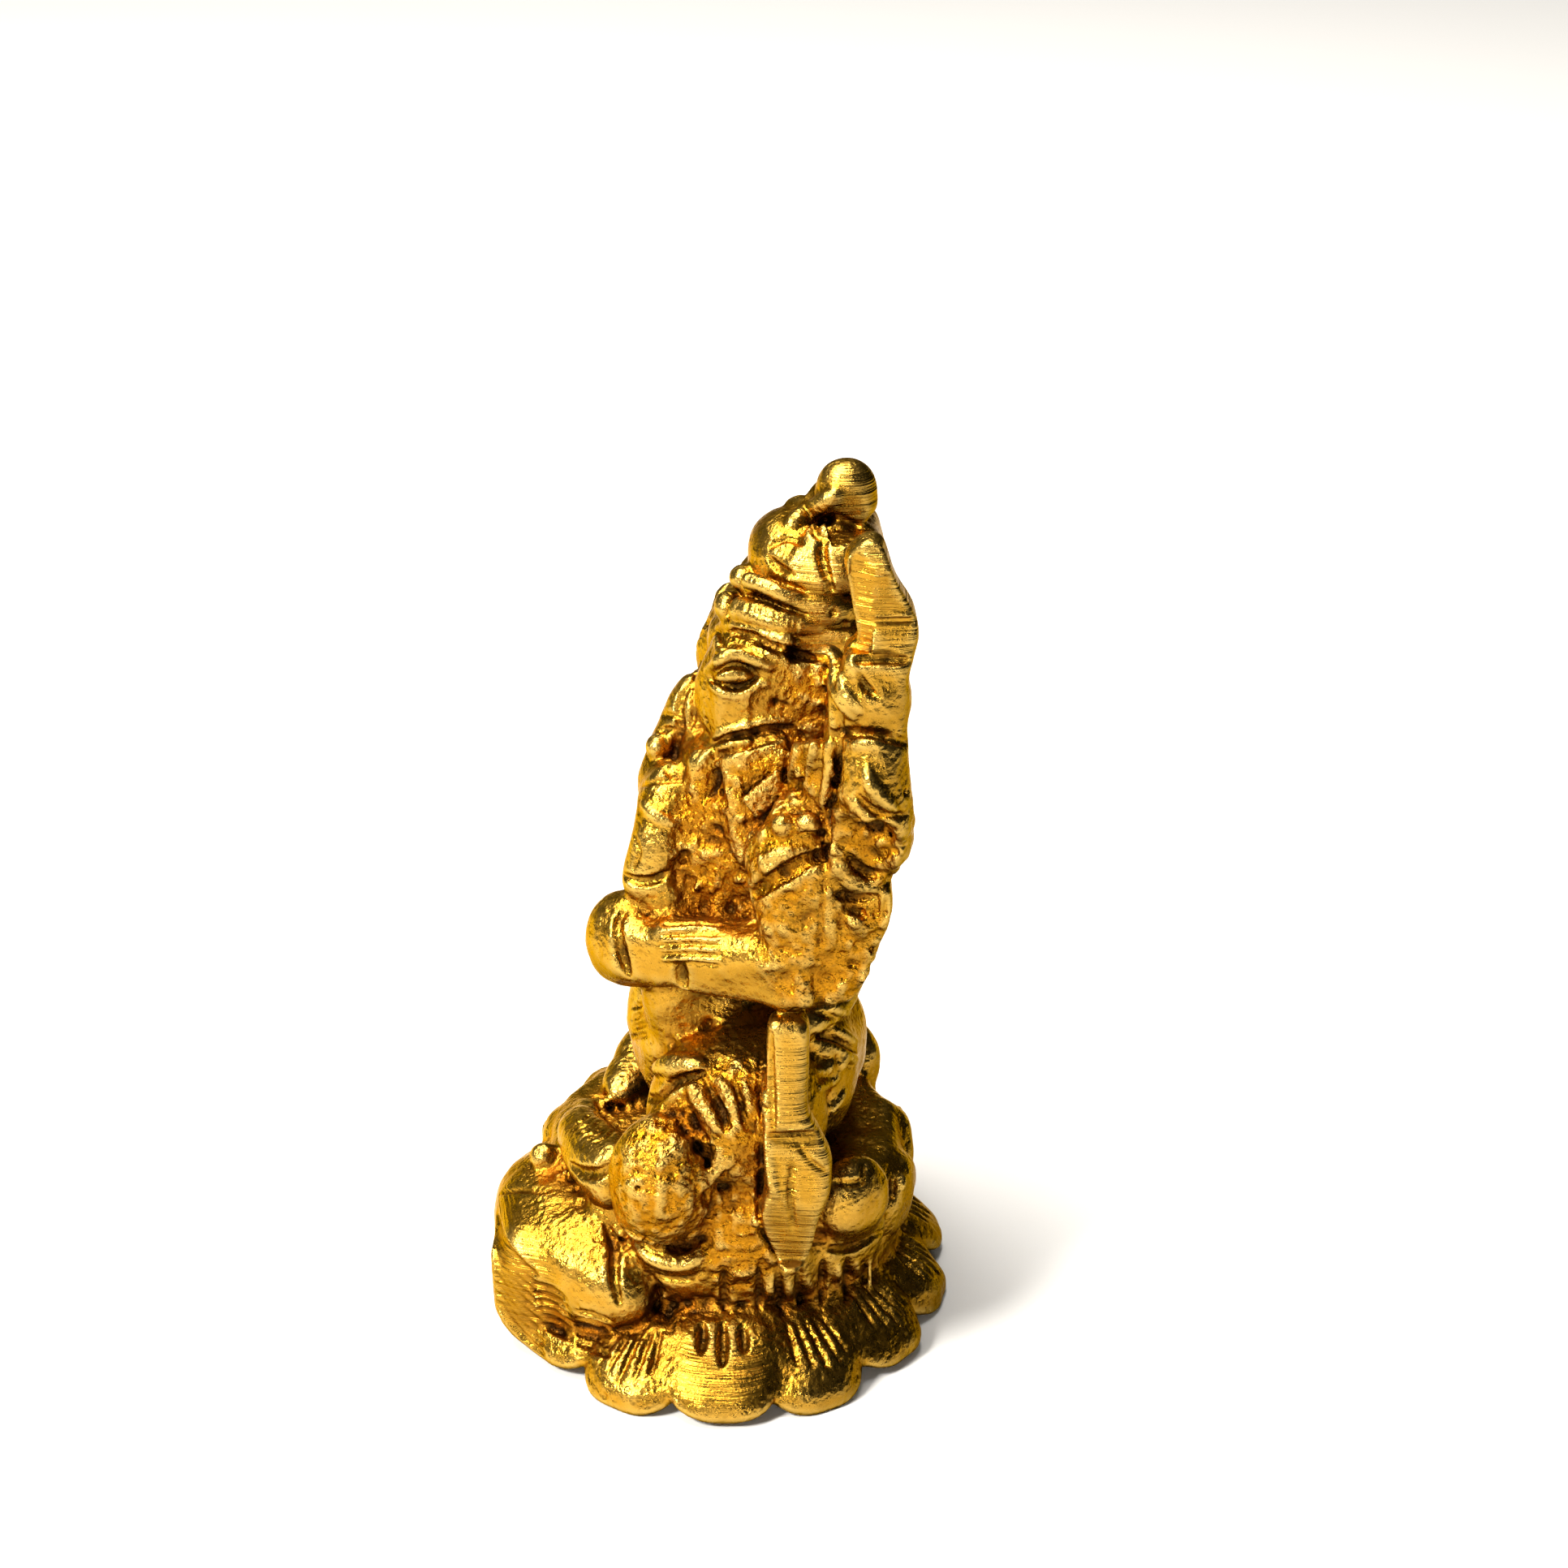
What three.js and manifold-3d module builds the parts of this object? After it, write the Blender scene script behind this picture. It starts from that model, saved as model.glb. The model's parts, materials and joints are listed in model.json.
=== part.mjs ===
// A small seated elephant-headed deity in cast brass, on a double lotus base with a mouse at its front.
// Millimetres, +Z up, the figure looks along -Y and its left hand side is +X.
// The origin is the centre of the flat underside that it stands on.
import * as THREE from "three";
import { mergeVertices } from "three/addons/utils/BufferGeometryUtils.js";
import Module from "manifold-3d";

const wasm = await Module();
wasm.setup();

// Driving dimensions
const HEIGHT = 58.2; // floor to the top of the crown's ball
const BASE_HALF = { x: 19.3, y: 15.3 }; // the lower lotus's oval, to its petal tips
const SEAT_HALF = { x: 13.9, y: 12.8 }; // the upper lotus's oval
const SEAT_TOP = 11.2;
const LOWER_PETALS = 14;
const UPPER_PETALS = 12;
const GAP = 0.3; // left between neighbouring pieces
const FINE = 12; // sides of a large round form
const COARSE = 9; // sides of a small one

const ACROSS = new THREE.Vector3(1, 0, 0); // to the figure's left
const ALONG = new THREE.Vector3(0, 1, 0); // to its back
const UP = new THREE.Vector3(0, 0, 1);

const radians = THREE.MathUtils.degToRad;
const degrees = THREE.MathUtils.radToDeg;

// Turns a closed three.js geometry into a solid that can be joined and cut.
function solid(geometry) {
  const bare = geometry.clone();
  bare.deleteAttribute("normal");
  bare.deleteAttribute("uv");
  const merged = mergeVertices(bare, 1e-4);
  const mesh = new wasm.Mesh({
    numProp: 3,
    vertProperties: new Float32Array(merged.attributes.position.array),
    triVerts: new Uint32Array(merged.index.array),
  });
  return new wasm.Manifold(mesh);
}

function join(solids) {
  return solids.reduce((all, next) => all.add(next));
}

// The matrix that turns by degrees about X, then Y, then Z, and moves to a place.
function placed(place, turn = [0, 0, 0]) {
  const euler = new THREE.Euler(...turn.map(radians), "ZYX");
  return new THREE.Matrix4().makeRotationFromEuler(euler).setPosition(...place);
}

// An ellipsoid, swollen by grow all round.
function ball(place, radii, grow = 0, turn = [0, 0, 0], sides = COARSE) {
  const geometry = new THREE.SphereGeometry(1, sides, Math.round(sides * 0.6));
  geometry.rotateX(Math.PI / 2);
  geometry.scale(...radii.map((r) => r + grow));
  return solid(geometry.applyMatrix4(placed(place, turn)));
}

// A round-ended limb through points, each [x, y, z, radius]. The section is narrowed by flat along the
// direction thin. It starts as a sphere whose rings are carried along the curve.
function limb(points, grow = 0, { sides = 10, rings = 9, flat = 1, thin = [0, 0, 1], cap = 0.16 } = {}) {
  const places = points.map((p) => new THREE.Vector3(p[0], p[1], p[2]));
  const last = places.length - 1;
  const lengthen = (from, to) => to.clone().sub(from).normalize().multiplyScalar(grow);
  places[0].add(lengthen(places[1], places[0]));
  places[last].add(lengthen(places[last - 1], places[last]));
  const curve = new THREE.CatmullRomCurve3(places);
  const across = new THREE.Vector3(...thin);
  const geometry = new THREE.SphereGeometry(1, sides, rings);
  const position = geometry.attributes.position;
  const around = new THREE.Vector3();
  for (let i = 0; i < position.count; i++) {
    around.fromBufferAttribute(position, i);
    const t = Math.acos(THREE.MathUtils.clamp(around.y, -1, 1)) / Math.PI;
    const angle = Math.atan2(around.z, around.x);
    const step = t * last;
    const low = Math.min(Math.floor(step), last - 1);
    const radius = THREE.MathUtils.lerp(points[low][3], points[low + 1][3], step - low) + grow;
    const inset = 1 - Math.min(1, Math.min(t, 1 - t) / cap);
    const rounded = radius * Math.sqrt(Math.max(0, 1 - inset * inset));
    const squeeze = flat + ((1 - flat) * grow) / radius;
    const tangent = curve.getTangent(t);
    const side = new THREE.Vector3().crossVectors(across, tangent).normalize();
    const up = new THREE.Vector3().crossVectors(tangent, side).normalize();
    const vertex = curve.getPoint(t);
    vertex.addScaledVector(side, Math.cos(angle) * rounded);
    vertex.addScaledVector(up, Math.sin(angle) * rounded * squeeze);
    position.setXYZ(i, vertex.x, vertex.y, vertex.z);
  }
  const made = solid(geometry);
  return made.volume() < 0 ? solid(turnedInsideOut(geometry)) : made;
}

function turnedInsideOut(geometry) {
  const flipped = geometry.clone();
  const index = flipped.index.array;
  for (let i = 0; i < index.length; i += 3) {
    [index[i + 1], index[i + 2]] = [index[i + 2], index[i + 1]];
  }
  return flipped;
}

// A turned form about an upright axis, stretched to an oval. Each profile point is [radius share, z].
function turned(profile, half, place, grow = 0, lean = 0, sides = 26) {
  const middle = profile.reduce((sum, [, z]) => sum + z, 0) / profile.length;
  const points = profile.map(([share, z]) => new THREE.Vector2(share, z + Math.sign(z - middle) * grow));
  const geometry = new THREE.LatheGeometry(points, sides);
  geometry.rotateX(Math.PI / 2);
  geometry.scale(half.x + grow, half.y + grow, 1);
  return solid(geometry.applyMatrix4(placed(place, [lean, 0, 0])));
}

// A flat outline of [y, z] corners that is thick across the figure, with its middle at x. Tilt swings it
// about a fore-and-aft axis through the outline's own middle.
function plate(corners, x, thick, grow = 0, tilt = 0) {
  const shape = new THREE.Shape(corners.map(([y, z]) => new THREE.Vector2(y, z)));
  const geometry = new THREE.ExtrudeGeometry(shape, { depth: 1, bevelEnabled: false });
  geometry.computeBoundingBox();
  const size = geometry.boundingBox.getSize(new THREE.Vector3());
  const middle = geometry.boundingBox.getCenter(new THREE.Vector3());
  geometry.translate(-middle.x, -middle.y, -middle.z);
  geometry.scale(1 + (2 * grow) / size.x, 1 + (2 * grow) / size.y, thick + 2 * grow);
  geometry.applyMatrix4(new THREE.Matrix4().makeBasis(ALONG, UP, ACROSS));
  return solid(geometry.applyMatrix4(placed([x, middle.x, middle.y], [0, tilt, 0])));
}

// A point of an oval, by its angle from +X.
function ovalPoint(half, angle) {
  return [half.x * Math.cos(angle), half.y * Math.sin(angle)];
}

// --- The lotus base and the mouse ---

function basePlate(grow) {
  const half = { x: BASE_HALF.x - 3, y: BASE_HALF.y - 3 };
  const profile = [[0, 0], [0.96, 0], [1, 0.6], [0.78, 4.2], [0, 4.2]];
  return turned(profile, half, [0, 0, 0], grow);
}

// A broad petal that slopes out and down from the seat and curls at its lip.
function lowerPetal(number, grow) {
  const angle = (number * 2 * Math.PI) / LOWER_PETALS;
  const [x, y] = ovalPoint({ x: BASE_HALF.x - 4.4, y: BASE_HALF.y - 4.4 }, angle);
  const heading = Math.atan2(Math.sin(angle) / BASE_HALF.y, Math.cos(angle) / BASE_HALF.x);
  return ball([x, y, 2.75], [5.1, 4.4, 1.3], grow, [0, 26, degrees(heading)]);
}

// The drum of the seat, with a row of upright petals round it. The two behind the hips stand taller.
function seat(grow) {
  const profile = [[0, 3.6], [0.9, 3.6], [0.93, 5], [0.86, 7], [0.93, 9.6], [0.9, SEAT_TOP], [0, SEAT_TOP]];
  const petals = Array.from({ length: UPPER_PETALS }, (_, i) => {
    const angle = ((i + 0.5) * 2 * Math.PI) / UPPER_PETALS;
    const [x, y] = ovalPoint({ x: SEAT_HALF.x - 1.3, y: SEAT_HALF.y - 1.3 }, angle);
    return ball([x, y, 7.6], [1.35, 3.5, 3.2], grow, [0, 12, degrees(angle)], 8);
  });
  const hipPetals = [1, -1].map((side) => {
    const turn = [0, 0, side * 40];
    return ball([side * 9.6, 8.2, 11.4], [2.2, 3, 3.1], grow, turn);
  });
  return join([turned(profile, SEAT_HALF, [0, 0, 0], grow), ...petals, ...hipPetals]);
}

function mouseBody(grow) {
  const back = [
    [-4.4, -11.4, 5, 3.1],
    [1, -11.4, 5.7, 4.2],
    [6.2, -10, 5.9, 4.5],
    [11, -7.2, 5.8, 3.5],
    [13.6, -4.4, 5.2, 2],
  ];
  return limb(back, grow, { sides: 12, rings: 11, cap: 0.26 });
}

function mouseHead(grow) {
  const snout = [[-5.4, -11, 5.2, 2.8], [-8.4, -10.4, 4.8, 2.3], [-11.4, -9.4, 4.2, 1]];
  const skull = limb(snout, grow, { cap: 0.25 });
  const ears = [-12, -8.6].map((y) => ball([-6.9, y, 6.9], [0.7, 1.3, 1.4], grow, [0, -15, 0], 8));
  return join([skull, ...ears]);
}

// --- Legs, body and cloth ---

const mirrorX = (points) => points.map(([x, ...rest]) => [-x, ...rest]);

function thigh(side, grow) {
  return ball([side * 8.8, 0.9, 16.8], [5.3, 5.8, 6], grow, [0, 0, 0], FINE);
}

// The left knee comes further forward than the right.
function knee(side, grow) {
  const y = side > 0 ? -3.9 : -1.6;
  return ball([side * 12.9, y, 14.6], [3.3, 3.3, 4.4], grow, [0, 0, 0], FINE);
}

// The cloth that falls from the thigh over the edge of the seat.
function skirt(side, grow) {
  return ball([side * 11.5, 0.9, 9.4], [2.5, 4.3, 6.2], grow);
}

const LEFT_SHIN = [[11, -5.4, 13, 2.6], [7.4, -7.8, 12.6, 2.4], [3.4, -9.2, 12.2, 2], [0.4, -9.4, 12, 1.6]];
const RIGHT_SHIN = [
  [-11, -3.6, 12.6, 2.5],
  [-7.6, -5.6, 11.9, 2.2],
  [-4.2, -7, 11.5, 1.9],
  [-1.6, -8, 11.4, 1.5],
];

function leftFoot(grow) {
  const sole = [[1.4, -9.2, 11.6, 1.5], [-1.5, -9.4, 11.2, 1.6], [-4.3, -9.2, 10.9, 1.2]];
  return limb(sole, grow, { flat: 0.75, cap: 0.25 });
}

function torso(grow) {
  return join([
    ball([0, -0.2, 19.9], [9, 6.4, 7.4], grow, [0, 0, 0], FINE + 2),
    ball([0, 3.2, 17.8], [10, 6.3, 7.2], grow, [0, 0, 0], FINE),
    ball([0, 2.2, 32.6], [8.8, 6.9, 8.8], grow, [0, 0, 0], FINE),
    ball([0, -0.4, 28.8], [8.2, 5.4, 5], grow, [0, 0, 0], FINE),
  ]);
}

function waistBelt(grow) {
  const profile = [[0, -0.9], [0.95, -0.9], [1, 0], [0.95, 0.9], [0, 0.9]];
  return turned(profile, { x: 9.3, y: 7.2 }, [0, 2.3, 22.4], grow, 4);
}

function necklace(grow) {
  const pendant = [0, -2.6, 33.4, 1.2];
  const half = [[4.6, -1.7, 35, 0.95], [7.4, 0.6, 38.6, 0.9]];
  return limb([...mirrorX(half).reverse(), pendant, ...half], grow, { sides: 8, rings: 14, cap: 0.08 });
}

const SASH = [
  [2.9, 26.4], [5.6, 26.4], [5.4, 20.2], [6.9, 17.2], [6.9, 14.6],
  [6, 12.4], [5.2, 9.4], [3.5, 9.2], [2.5, 13], [2.8, 18],
];

// A stiff end of cloth that hangs beside the thigh and stands further out at its foot.
function sash(side, grow) {
  return plate(SASH, side * 13.9, 2.6, grow, side * -8);
}

const SHAWL = [[5.2, 38.4], [10.8, 38], [10.5, 33], [9.1, 29], [8.3, 27.6], [6, 27.6], [4.8, 30]];

// The cloth that hangs as a wall from the rear arm down to the front elbow.
function shawl(side, grow) {
  return plate(SHAWL, side * 10.7, 5.6, grow);
}

// --- Head ---

function head(grow) {
  return join([
    ball([0, 5.2, 45], [6.9, 5.9, 5], grow, [0, 0, 0], FINE),
    ball([0, 2.6, 46], [4.6, 3.9, 3.2], grow),
    ball([3, 2.3, 43.6], [3.6, 4.2, 4.8], grow, [0, 0, 0], FINE),
    ball([-3, 2.3, 43.6], [3.6, 4.2, 4.8], grow, [0, 0, 0], FINE),
  ]);
}

const TRUNK = [
  [0, 0.4, 44, 2.9],
  [0, -1.5, 40.2, 2.6],
  [1.1, -3.2, 37, 2.3],
  [3.9, -3, 36.9, 2.1],
  [5.7, -3.8, 34.9, 2],
  [6.1, -4.8, 32.3, 1.7],
  [6, -5.2, 31, 1.3],
];

function tusk(side, grow) {
  const line = [[side * 4, 0.6, 40.4, 1], [side * 3.9, -1.4, 39.6, 0.9], [side * 3.7, -3, 39.3, 0.55]];
  return limb(line, grow, { sides: 8, rings: 7 });
}

function ear(side, grow) {
  return join([
    ball([side * 9.2, 6.5, 44.4], [3.9, 2.1, 5], grow, [0, side * 8, side * 12], 11),
    ball([side * 9, 6.2, 40.4], [2.7, 2, 3], grow, [0, side * -12, side * 12], 8),
  ]);
}

// --- Crown ---

const CROWN_LEAN = -5;

function crownBand(half, z, y, thick, grow) {
  const edge = thick / 2;
  const profile = [[0, -edge], [0.93, -edge], [1, -edge / 3], [1, edge / 3], [0.93, edge], [0, edge]];
  return turned(profile, half, [0, y, z], grow, CROWN_LEAN, 20);
}

const CROWN_SIDE = [
  [3.4, 47.6], [3.1, 50.2], [4.1, 53.4], [5.2, 54.8], [7.6, 55.2], [9.7, 53.8], [10.6, 50.6], [10.4, 47.4],
];

// The tall cap, domed across the figure and filed flat at its sides.
function crownDome(grow) {
  const cap = ball([0, 6.9, 48.6], [6.3, 6.4, 7.6], grow, [0, 0, 0], FINE);
  return cap.intersect(plate(CROWN_SIDE, 0, 10.8, grow));
}

function crownFinial(grow) {
  const bead = ball([0, 7.8, HEIGHT - 2.05], [2.05, 2.05, 2.05], grow, [0, 0, 0], 12);
  const profile = [[0, -0.6], [0.9, -0.6], [1, 0], [0.9, 0.6], [0, 0.6]];
  return join([bead, turned(profile, { x: 2.2, y: 2.2 }, [0, 7.8, 55.1], grow, 0, 14)]);
}

// --- Arms, hands and what they hold ---

const FRONT_UPPER_ARM = [
  [9.6, 4.2, 39, 3.1],
  [11.4, 4.6, 35, 3.1],
  [12.3, 5.4, 31, 2.7],
  [12.3, 5.6, 29.6, 2.4],
];
const LEFT_FOREARM = [
  [12.1, 5.9, 29.6, 2.6],
  [11.3, 2.8, 29.2, 2.4],
  [9.9, -0.4, 28.8, 2.3],
  [8.6, -3, 28.6, 2.3],
];
const RIGHT_FOREARM = [[-12.3, 5.2, 29.6, 2.6], [-12.6, 2.6, 30, 2.4], [-12.4, 0.4, 32, 2.1]];
const REAR_LEFT_ARM = [
  [8.6, 7.6, 38, 2.6],
  [12.4, 8.9, 37.8, 2.9],
  [13.6, 9.3, 41, 2.5],
  [13.3, 9.3, 44.4, 2],
  [13.1, 9.4, 46.4, 2.1],
];
// The right arm is held lower than the left, with its elbow out to the side.
const REAR_RIGHT_ARM = [
  [-8.6, 7.2, 37.4, 2.6],
  [-12.4, 7.9, 36, 2.8],
  [-13.6, 8, 38.4, 2.4],
  [-13.1, 7.8, 41.4, 2.1],
  [-12.8, 7.7, 43, 2.1],
];

function upright(points, grow) {
  return limb(points, grow, { rings: 9, thin: [0, 1, 0], cap: 0.2 });
}

function leftHand(grow) {
  const palm = [[8.7, -2.6, 28.3, 2.3], [8, -4.8, 28.3, 2.2], [7.1, -6.6, 28.1, 1.6]];
  return limb(palm, grow, { flat: 0.85, thin: [1, 0, 0], cap: 0.25 });
}

// Raised in blessing, palm forward.
function rightHand(grow) {
  const palm = ball([-12.1, -0.6, 34.6], [2.2, 1.2, 2.4], grow);
  const fingers = ball([-12.1, -0.7, 37.2], [1.9, 0.95, 2.5], grow);
  const thumb = ball([-10.3, -0.9, 35.2], [0.7, 0.75, 1.7], grow, [0, 25, 0], 8);
  return join([palm, fingers, thumb]);
}

function rearHand(place, grow) {
  return ball(place, [2.4, 2.3, 2.3], grow, [8, 0, 0]);
}

const AXE = [
  [8.4, 57.2], [7.4, 55.9], [7.9, 53.6], [8.2, 51.8], [8.6, 49.4], [11.2, 49.4],
  [11.9, 51], [11.7, 52.4], [10.6, 54.4], [10, 56], [9.6, 57.2],
];

function axe(grow) {
  return plate(AXE, 11.5, 3.6, grow, 4);
}

function noose(grow) {
  return join([
    ball([-12.2, 7.5, 47.4], [2.4, 1.4, 2.3], grow, [6, 0, 0]),
    ball([-12, 7.2, 49.4], [1.5, 1.2, 1.4], grow, [6, 0, 0], 8),
  ]);
}

// Every piece in the order in which the space is shared out: each gives way to the ones before it.
const PIECES = [
  ["base_plate", basePlate],
  ["mouse_body", mouseBody],
  ["mouse_head", mouseHead],
  ["lotus_seat", seat],
  ...Array.from({ length: LOWER_PETALS }, (_, i) => [
    `lower_petal_${String(i + 1).padStart(2, "0")}`,
    (grow) => lowerPetal(i, grow),
  ]),
  ["left_sash", (grow) => sash(1, grow)],
  ["right_sash", (grow) => sash(-1, grow)],
  ["left_knee", (grow) => knee(1, grow)],
  ["right_knee", (grow) => knee(-1, grow)],
  ["left_skirt", (grow) => skirt(1, grow)],
  ["right_skirt", (grow) => skirt(-1, grow)],
  ["left_thigh", (grow) => thigh(1, grow)],
  ["right_thigh", (grow) => thigh(-1, grow)],
  ["left_foot", leftFoot],
  ["left_shin", (grow) => limb(LEFT_SHIN, grow, { rings: 8, cap: 0.2 })],
  ["right_shin", (grow) => limb(RIGHT_SHIN, grow, { rings: 8, cap: 0.2 })],
  ["sweet_ball", (grow) => ball([6, -5.7, 28.2], [3, 3, 3], grow, [0, 0, 0], 12)],
  ["left_hand", leftHand],
  ["trunk", (grow) => limb(TRUNK, grow, { rings: 18, cap: 0.12, thin: [0, 1, 0] })],
  ["left_tusk", (grow) => tusk(1, grow)],
  ["right_tusk", (grow) => tusk(-1, grow)],
  ["crown_finial", crownFinial],
  ["crown_jewel", (grow) => ball([0, 4.3, 52], [3.7, 2.6, 2.6], grow, [0, 0, 0], 12)],
  ["crown_upper_band", (grow) => crownBand({ x: 6, y: 5 }, 50, 5.7, 1.8, grow)],
  ["crown_lower_band", (grow) => crownBand({ x: 6.8, y: 5.8 }, 48.1, 5.5, 1.9, grow)],
  ["crown_dome", crownDome],
  ["head", head],
  ["left_ear", (grow) => ear(1, grow)],
  ["right_ear", (grow) => ear(-1, grow)],
  ["front_left_forearm", (grow) => limb(LEFT_FOREARM, grow, { sides: 10, rings: 8, cap: 0.2 })],
  ["front_right_forearm", (grow) => limb(RIGHT_FOREARM, grow, { rings: 8, thin: [1, 0, 0], cap: 0.22 })],
  ["right_hand", rightHand],
  ["axe", axe],
  ["noose", noose],
  ["rear_left_hand", (grow) => rearHand([12.2, 9.3, 47.1], grow)],
  ["rear_right_hand", (grow) => rearHand([-12.6, 7.7, 44.8], grow)],
  ["front_left_upper_arm", (grow) => upright(FRONT_UPPER_ARM, grow)],
  ["front_right_upper_arm", (grow) => upright(mirrorX(FRONT_UPPER_ARM), grow)],
  ["rear_left_arm", (grow) => upright(REAR_LEFT_ARM, grow)],
  ["rear_right_arm", (grow) => upright(REAR_RIGHT_ARM, grow)],
  ["left_shawl", (grow) => shawl(1, grow)],
  ["right_shawl", (grow) => shawl(-1, grow)],
  ["waist_belt", waistBelt],
  ["necklace", necklace],
  ["torso", torso],
];

// Only the base plate reaches the floor; the rest is cut off level just above it.
const FLOOR_CLEARANCE = 0.25;
const belowFloor = solid(new THREE.BoxGeometry(60, 60, 10).translate(0, 0, FLOOR_CLEARANCE - 5));

const boxesMeet = (a, b) => [0, 1, 2].every((k) => a.min[k] <= b.max[k] && b.min[k] <= a.max[k]);

const brass = new THREE.MeshStandardMaterial({ color: 0xc9921e, roughness: 0.32, metalness: 1 });

// A piece without the room that its neighbours take. Only its largest body stays.
function trimmed(piece, neighbours) {
  const box = piece.boundingBox();
  const near = neighbours.filter((other) => boxesMeet(box, other.boundingBox()));
  const rest = near.reduce((left, other) => left.subtract(other), piece);
  return rest.decompose().sort((a, b) => b.volume() - a.volume())[0];
}

function toMesh(name, piece) {
  const { vertProperties, triVerts } = piece.getMesh();
  const geometry = new THREE.BufferGeometry();
  geometry.setAttribute("position", new THREE.BufferAttribute(vertProperties, 3));
  geometry.setIndex(new THREE.BufferAttribute(triVerts, 1));
  geometry.computeVertexNormals();
  const mesh = new THREE.Mesh(geometry, brass.clone());
  mesh.name = name;
  return mesh;
}

const statue = new THREE.Group();
const before = [];
for (const [name, shape] of PIECES) {
  const inTheWay = name === "base_plate" ? before : [...before, belowFloor];
  statue.add(toMesh(name, trimmed(shape(0), inTheWay)));
  before.push(shape(GAP));
}

export default statue;
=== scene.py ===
"""The finished look of a small cast-brass deity seated on a lotus.

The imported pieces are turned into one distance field, so that the statue has the continuous skin of a
casting. Carved detail is added to that field, and it is then divided again into one closed mesh for each
CAD node.
Lengths inside the field are in millimetres; the Blender objects are in metres.
"""

import json
import math

import bpy
import numpy as np
import openvdb as vdb
from mathutils import Euler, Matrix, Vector

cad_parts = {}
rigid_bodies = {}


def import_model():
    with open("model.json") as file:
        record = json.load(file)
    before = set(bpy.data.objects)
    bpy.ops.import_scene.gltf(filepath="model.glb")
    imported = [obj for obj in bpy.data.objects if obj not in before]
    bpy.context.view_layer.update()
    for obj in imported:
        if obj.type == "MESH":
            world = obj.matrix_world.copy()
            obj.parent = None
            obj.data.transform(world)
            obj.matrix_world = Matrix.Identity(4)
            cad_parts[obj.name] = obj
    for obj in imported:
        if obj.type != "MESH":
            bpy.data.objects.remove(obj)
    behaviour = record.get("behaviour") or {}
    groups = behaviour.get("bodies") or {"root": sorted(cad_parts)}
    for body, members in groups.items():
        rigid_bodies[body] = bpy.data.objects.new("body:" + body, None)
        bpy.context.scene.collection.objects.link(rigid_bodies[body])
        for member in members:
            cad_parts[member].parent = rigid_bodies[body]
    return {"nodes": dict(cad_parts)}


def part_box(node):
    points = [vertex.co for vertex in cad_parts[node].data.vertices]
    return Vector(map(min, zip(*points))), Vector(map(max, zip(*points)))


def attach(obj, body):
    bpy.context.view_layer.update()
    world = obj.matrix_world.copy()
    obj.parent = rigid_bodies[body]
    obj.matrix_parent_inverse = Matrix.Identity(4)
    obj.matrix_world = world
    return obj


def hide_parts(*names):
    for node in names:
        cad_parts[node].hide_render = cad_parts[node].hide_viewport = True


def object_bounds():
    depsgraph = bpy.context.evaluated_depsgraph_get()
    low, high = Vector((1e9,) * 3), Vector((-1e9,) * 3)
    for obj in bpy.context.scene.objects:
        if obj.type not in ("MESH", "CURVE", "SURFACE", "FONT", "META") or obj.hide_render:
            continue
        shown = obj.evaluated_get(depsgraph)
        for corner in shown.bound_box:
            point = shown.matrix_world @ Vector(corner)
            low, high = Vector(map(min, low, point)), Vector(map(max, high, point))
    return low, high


for leftover in list(bpy.data.objects):
    bpy.data.objects.remove(leftover)
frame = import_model()
cad_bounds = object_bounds()
scene = bpy.context.scene

MM = 0.001
VOXEL = 0.16  # edge of one cell of the field
BAND = 1.8  # how far from a surface its distance is known
MELT = 0.9  # how far apart two forms begin to flow together
OVERLAP = 0.5  # how far a piece runs on below its neighbour's skin
SINK = 0.25  # how steeply it dives there
MARGIN = 2.2  # free space kept in the field round the CAD box
FORM_MARGIN = 1.5  # and in the window round an added or cut form
SOFTEN = 0.45  # blur that takes the facets' edges off a CAD node
NO_OWNER = 255  # marks a cell that no node has reached

# The camera stands off the figure's left and looks down on it a little.
ELEVATION = 24
DISTANCE = 220
AIM_ALONG = 3.9  # forward of the origin is negative
AIM_UP = 36.2
LENS = 79


# --- Places in the frame ---


def node_box(name):
    """The low and high corner of a CAD node, in millimetres."""
    low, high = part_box(name)
    return np.array(low) / MM, np.array(high) / MM


# --- The distance field ---

low_corner = np.array(cad_bounds[0]) / MM - MARGIN
high_corner = np.array(cad_bounds[1]) / MM + MARGIN
first_cell = np.floor(low_corner / VOXEL).astype(int)
cells = np.ceil(high_corner / VOXEL).astype(int) - first_cell + 1
field = np.full(cells, BAND, np.float32)
nearest = np.full(cells, BAND, np.float32)
second = np.full(cells, BAND, np.float32)
owner = np.full(cells, NO_OWNER, np.uint8)


def window(low, high, margin):
    """The slices of the field that hold a box, and the coordinates of their cells."""
    start = np.clip(np.floor((np.asarray(low) - margin) / VOXEL).astype(int) - first_cell, 0, cells)
    stop = np.clip(np.ceil((np.asarray(high) + margin) / VOXEL).astype(int) - first_cell + 1, 0, cells)
    part = tuple(slice(a, b) for a, b in zip(start, stop))
    axes = [(np.arange(a, b) + f) * np.float32(VOXEL) for a, b, f in zip(start, stop, first_cell)]
    return part, np.meshgrid(*axes, indexing="ij", sparse=True)


def blurred(values, sigma):
    """A Gaussian blur by sigma millimetres, along each axis in turn."""
    tail = 2.2  # beyond this many sigmas the weights are left out
    reach = max(1, int(math.ceil(tail * sigma / VOXEL)))
    weights = np.exp(-0.5 * (np.arange(-reach, reach + 1) * VOXEL / sigma) ** 2)
    weights = (weights / weights.sum()).astype(np.float32)
    for axis in range(3):
        pad = [(reach, reach) if a == axis else (0, 0) for a in range(3)]
        padded = np.pad(values, pad, mode="edge")
        length = values.shape[axis]
        total = np.zeros_like(values)
        for i, weight in enumerate(weights):
            shift = [slice(i, i + length) if a == axis else slice(None) for a in range(3)]
            total += weight * padded[tuple(shift)]
        values = total
    return values


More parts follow.
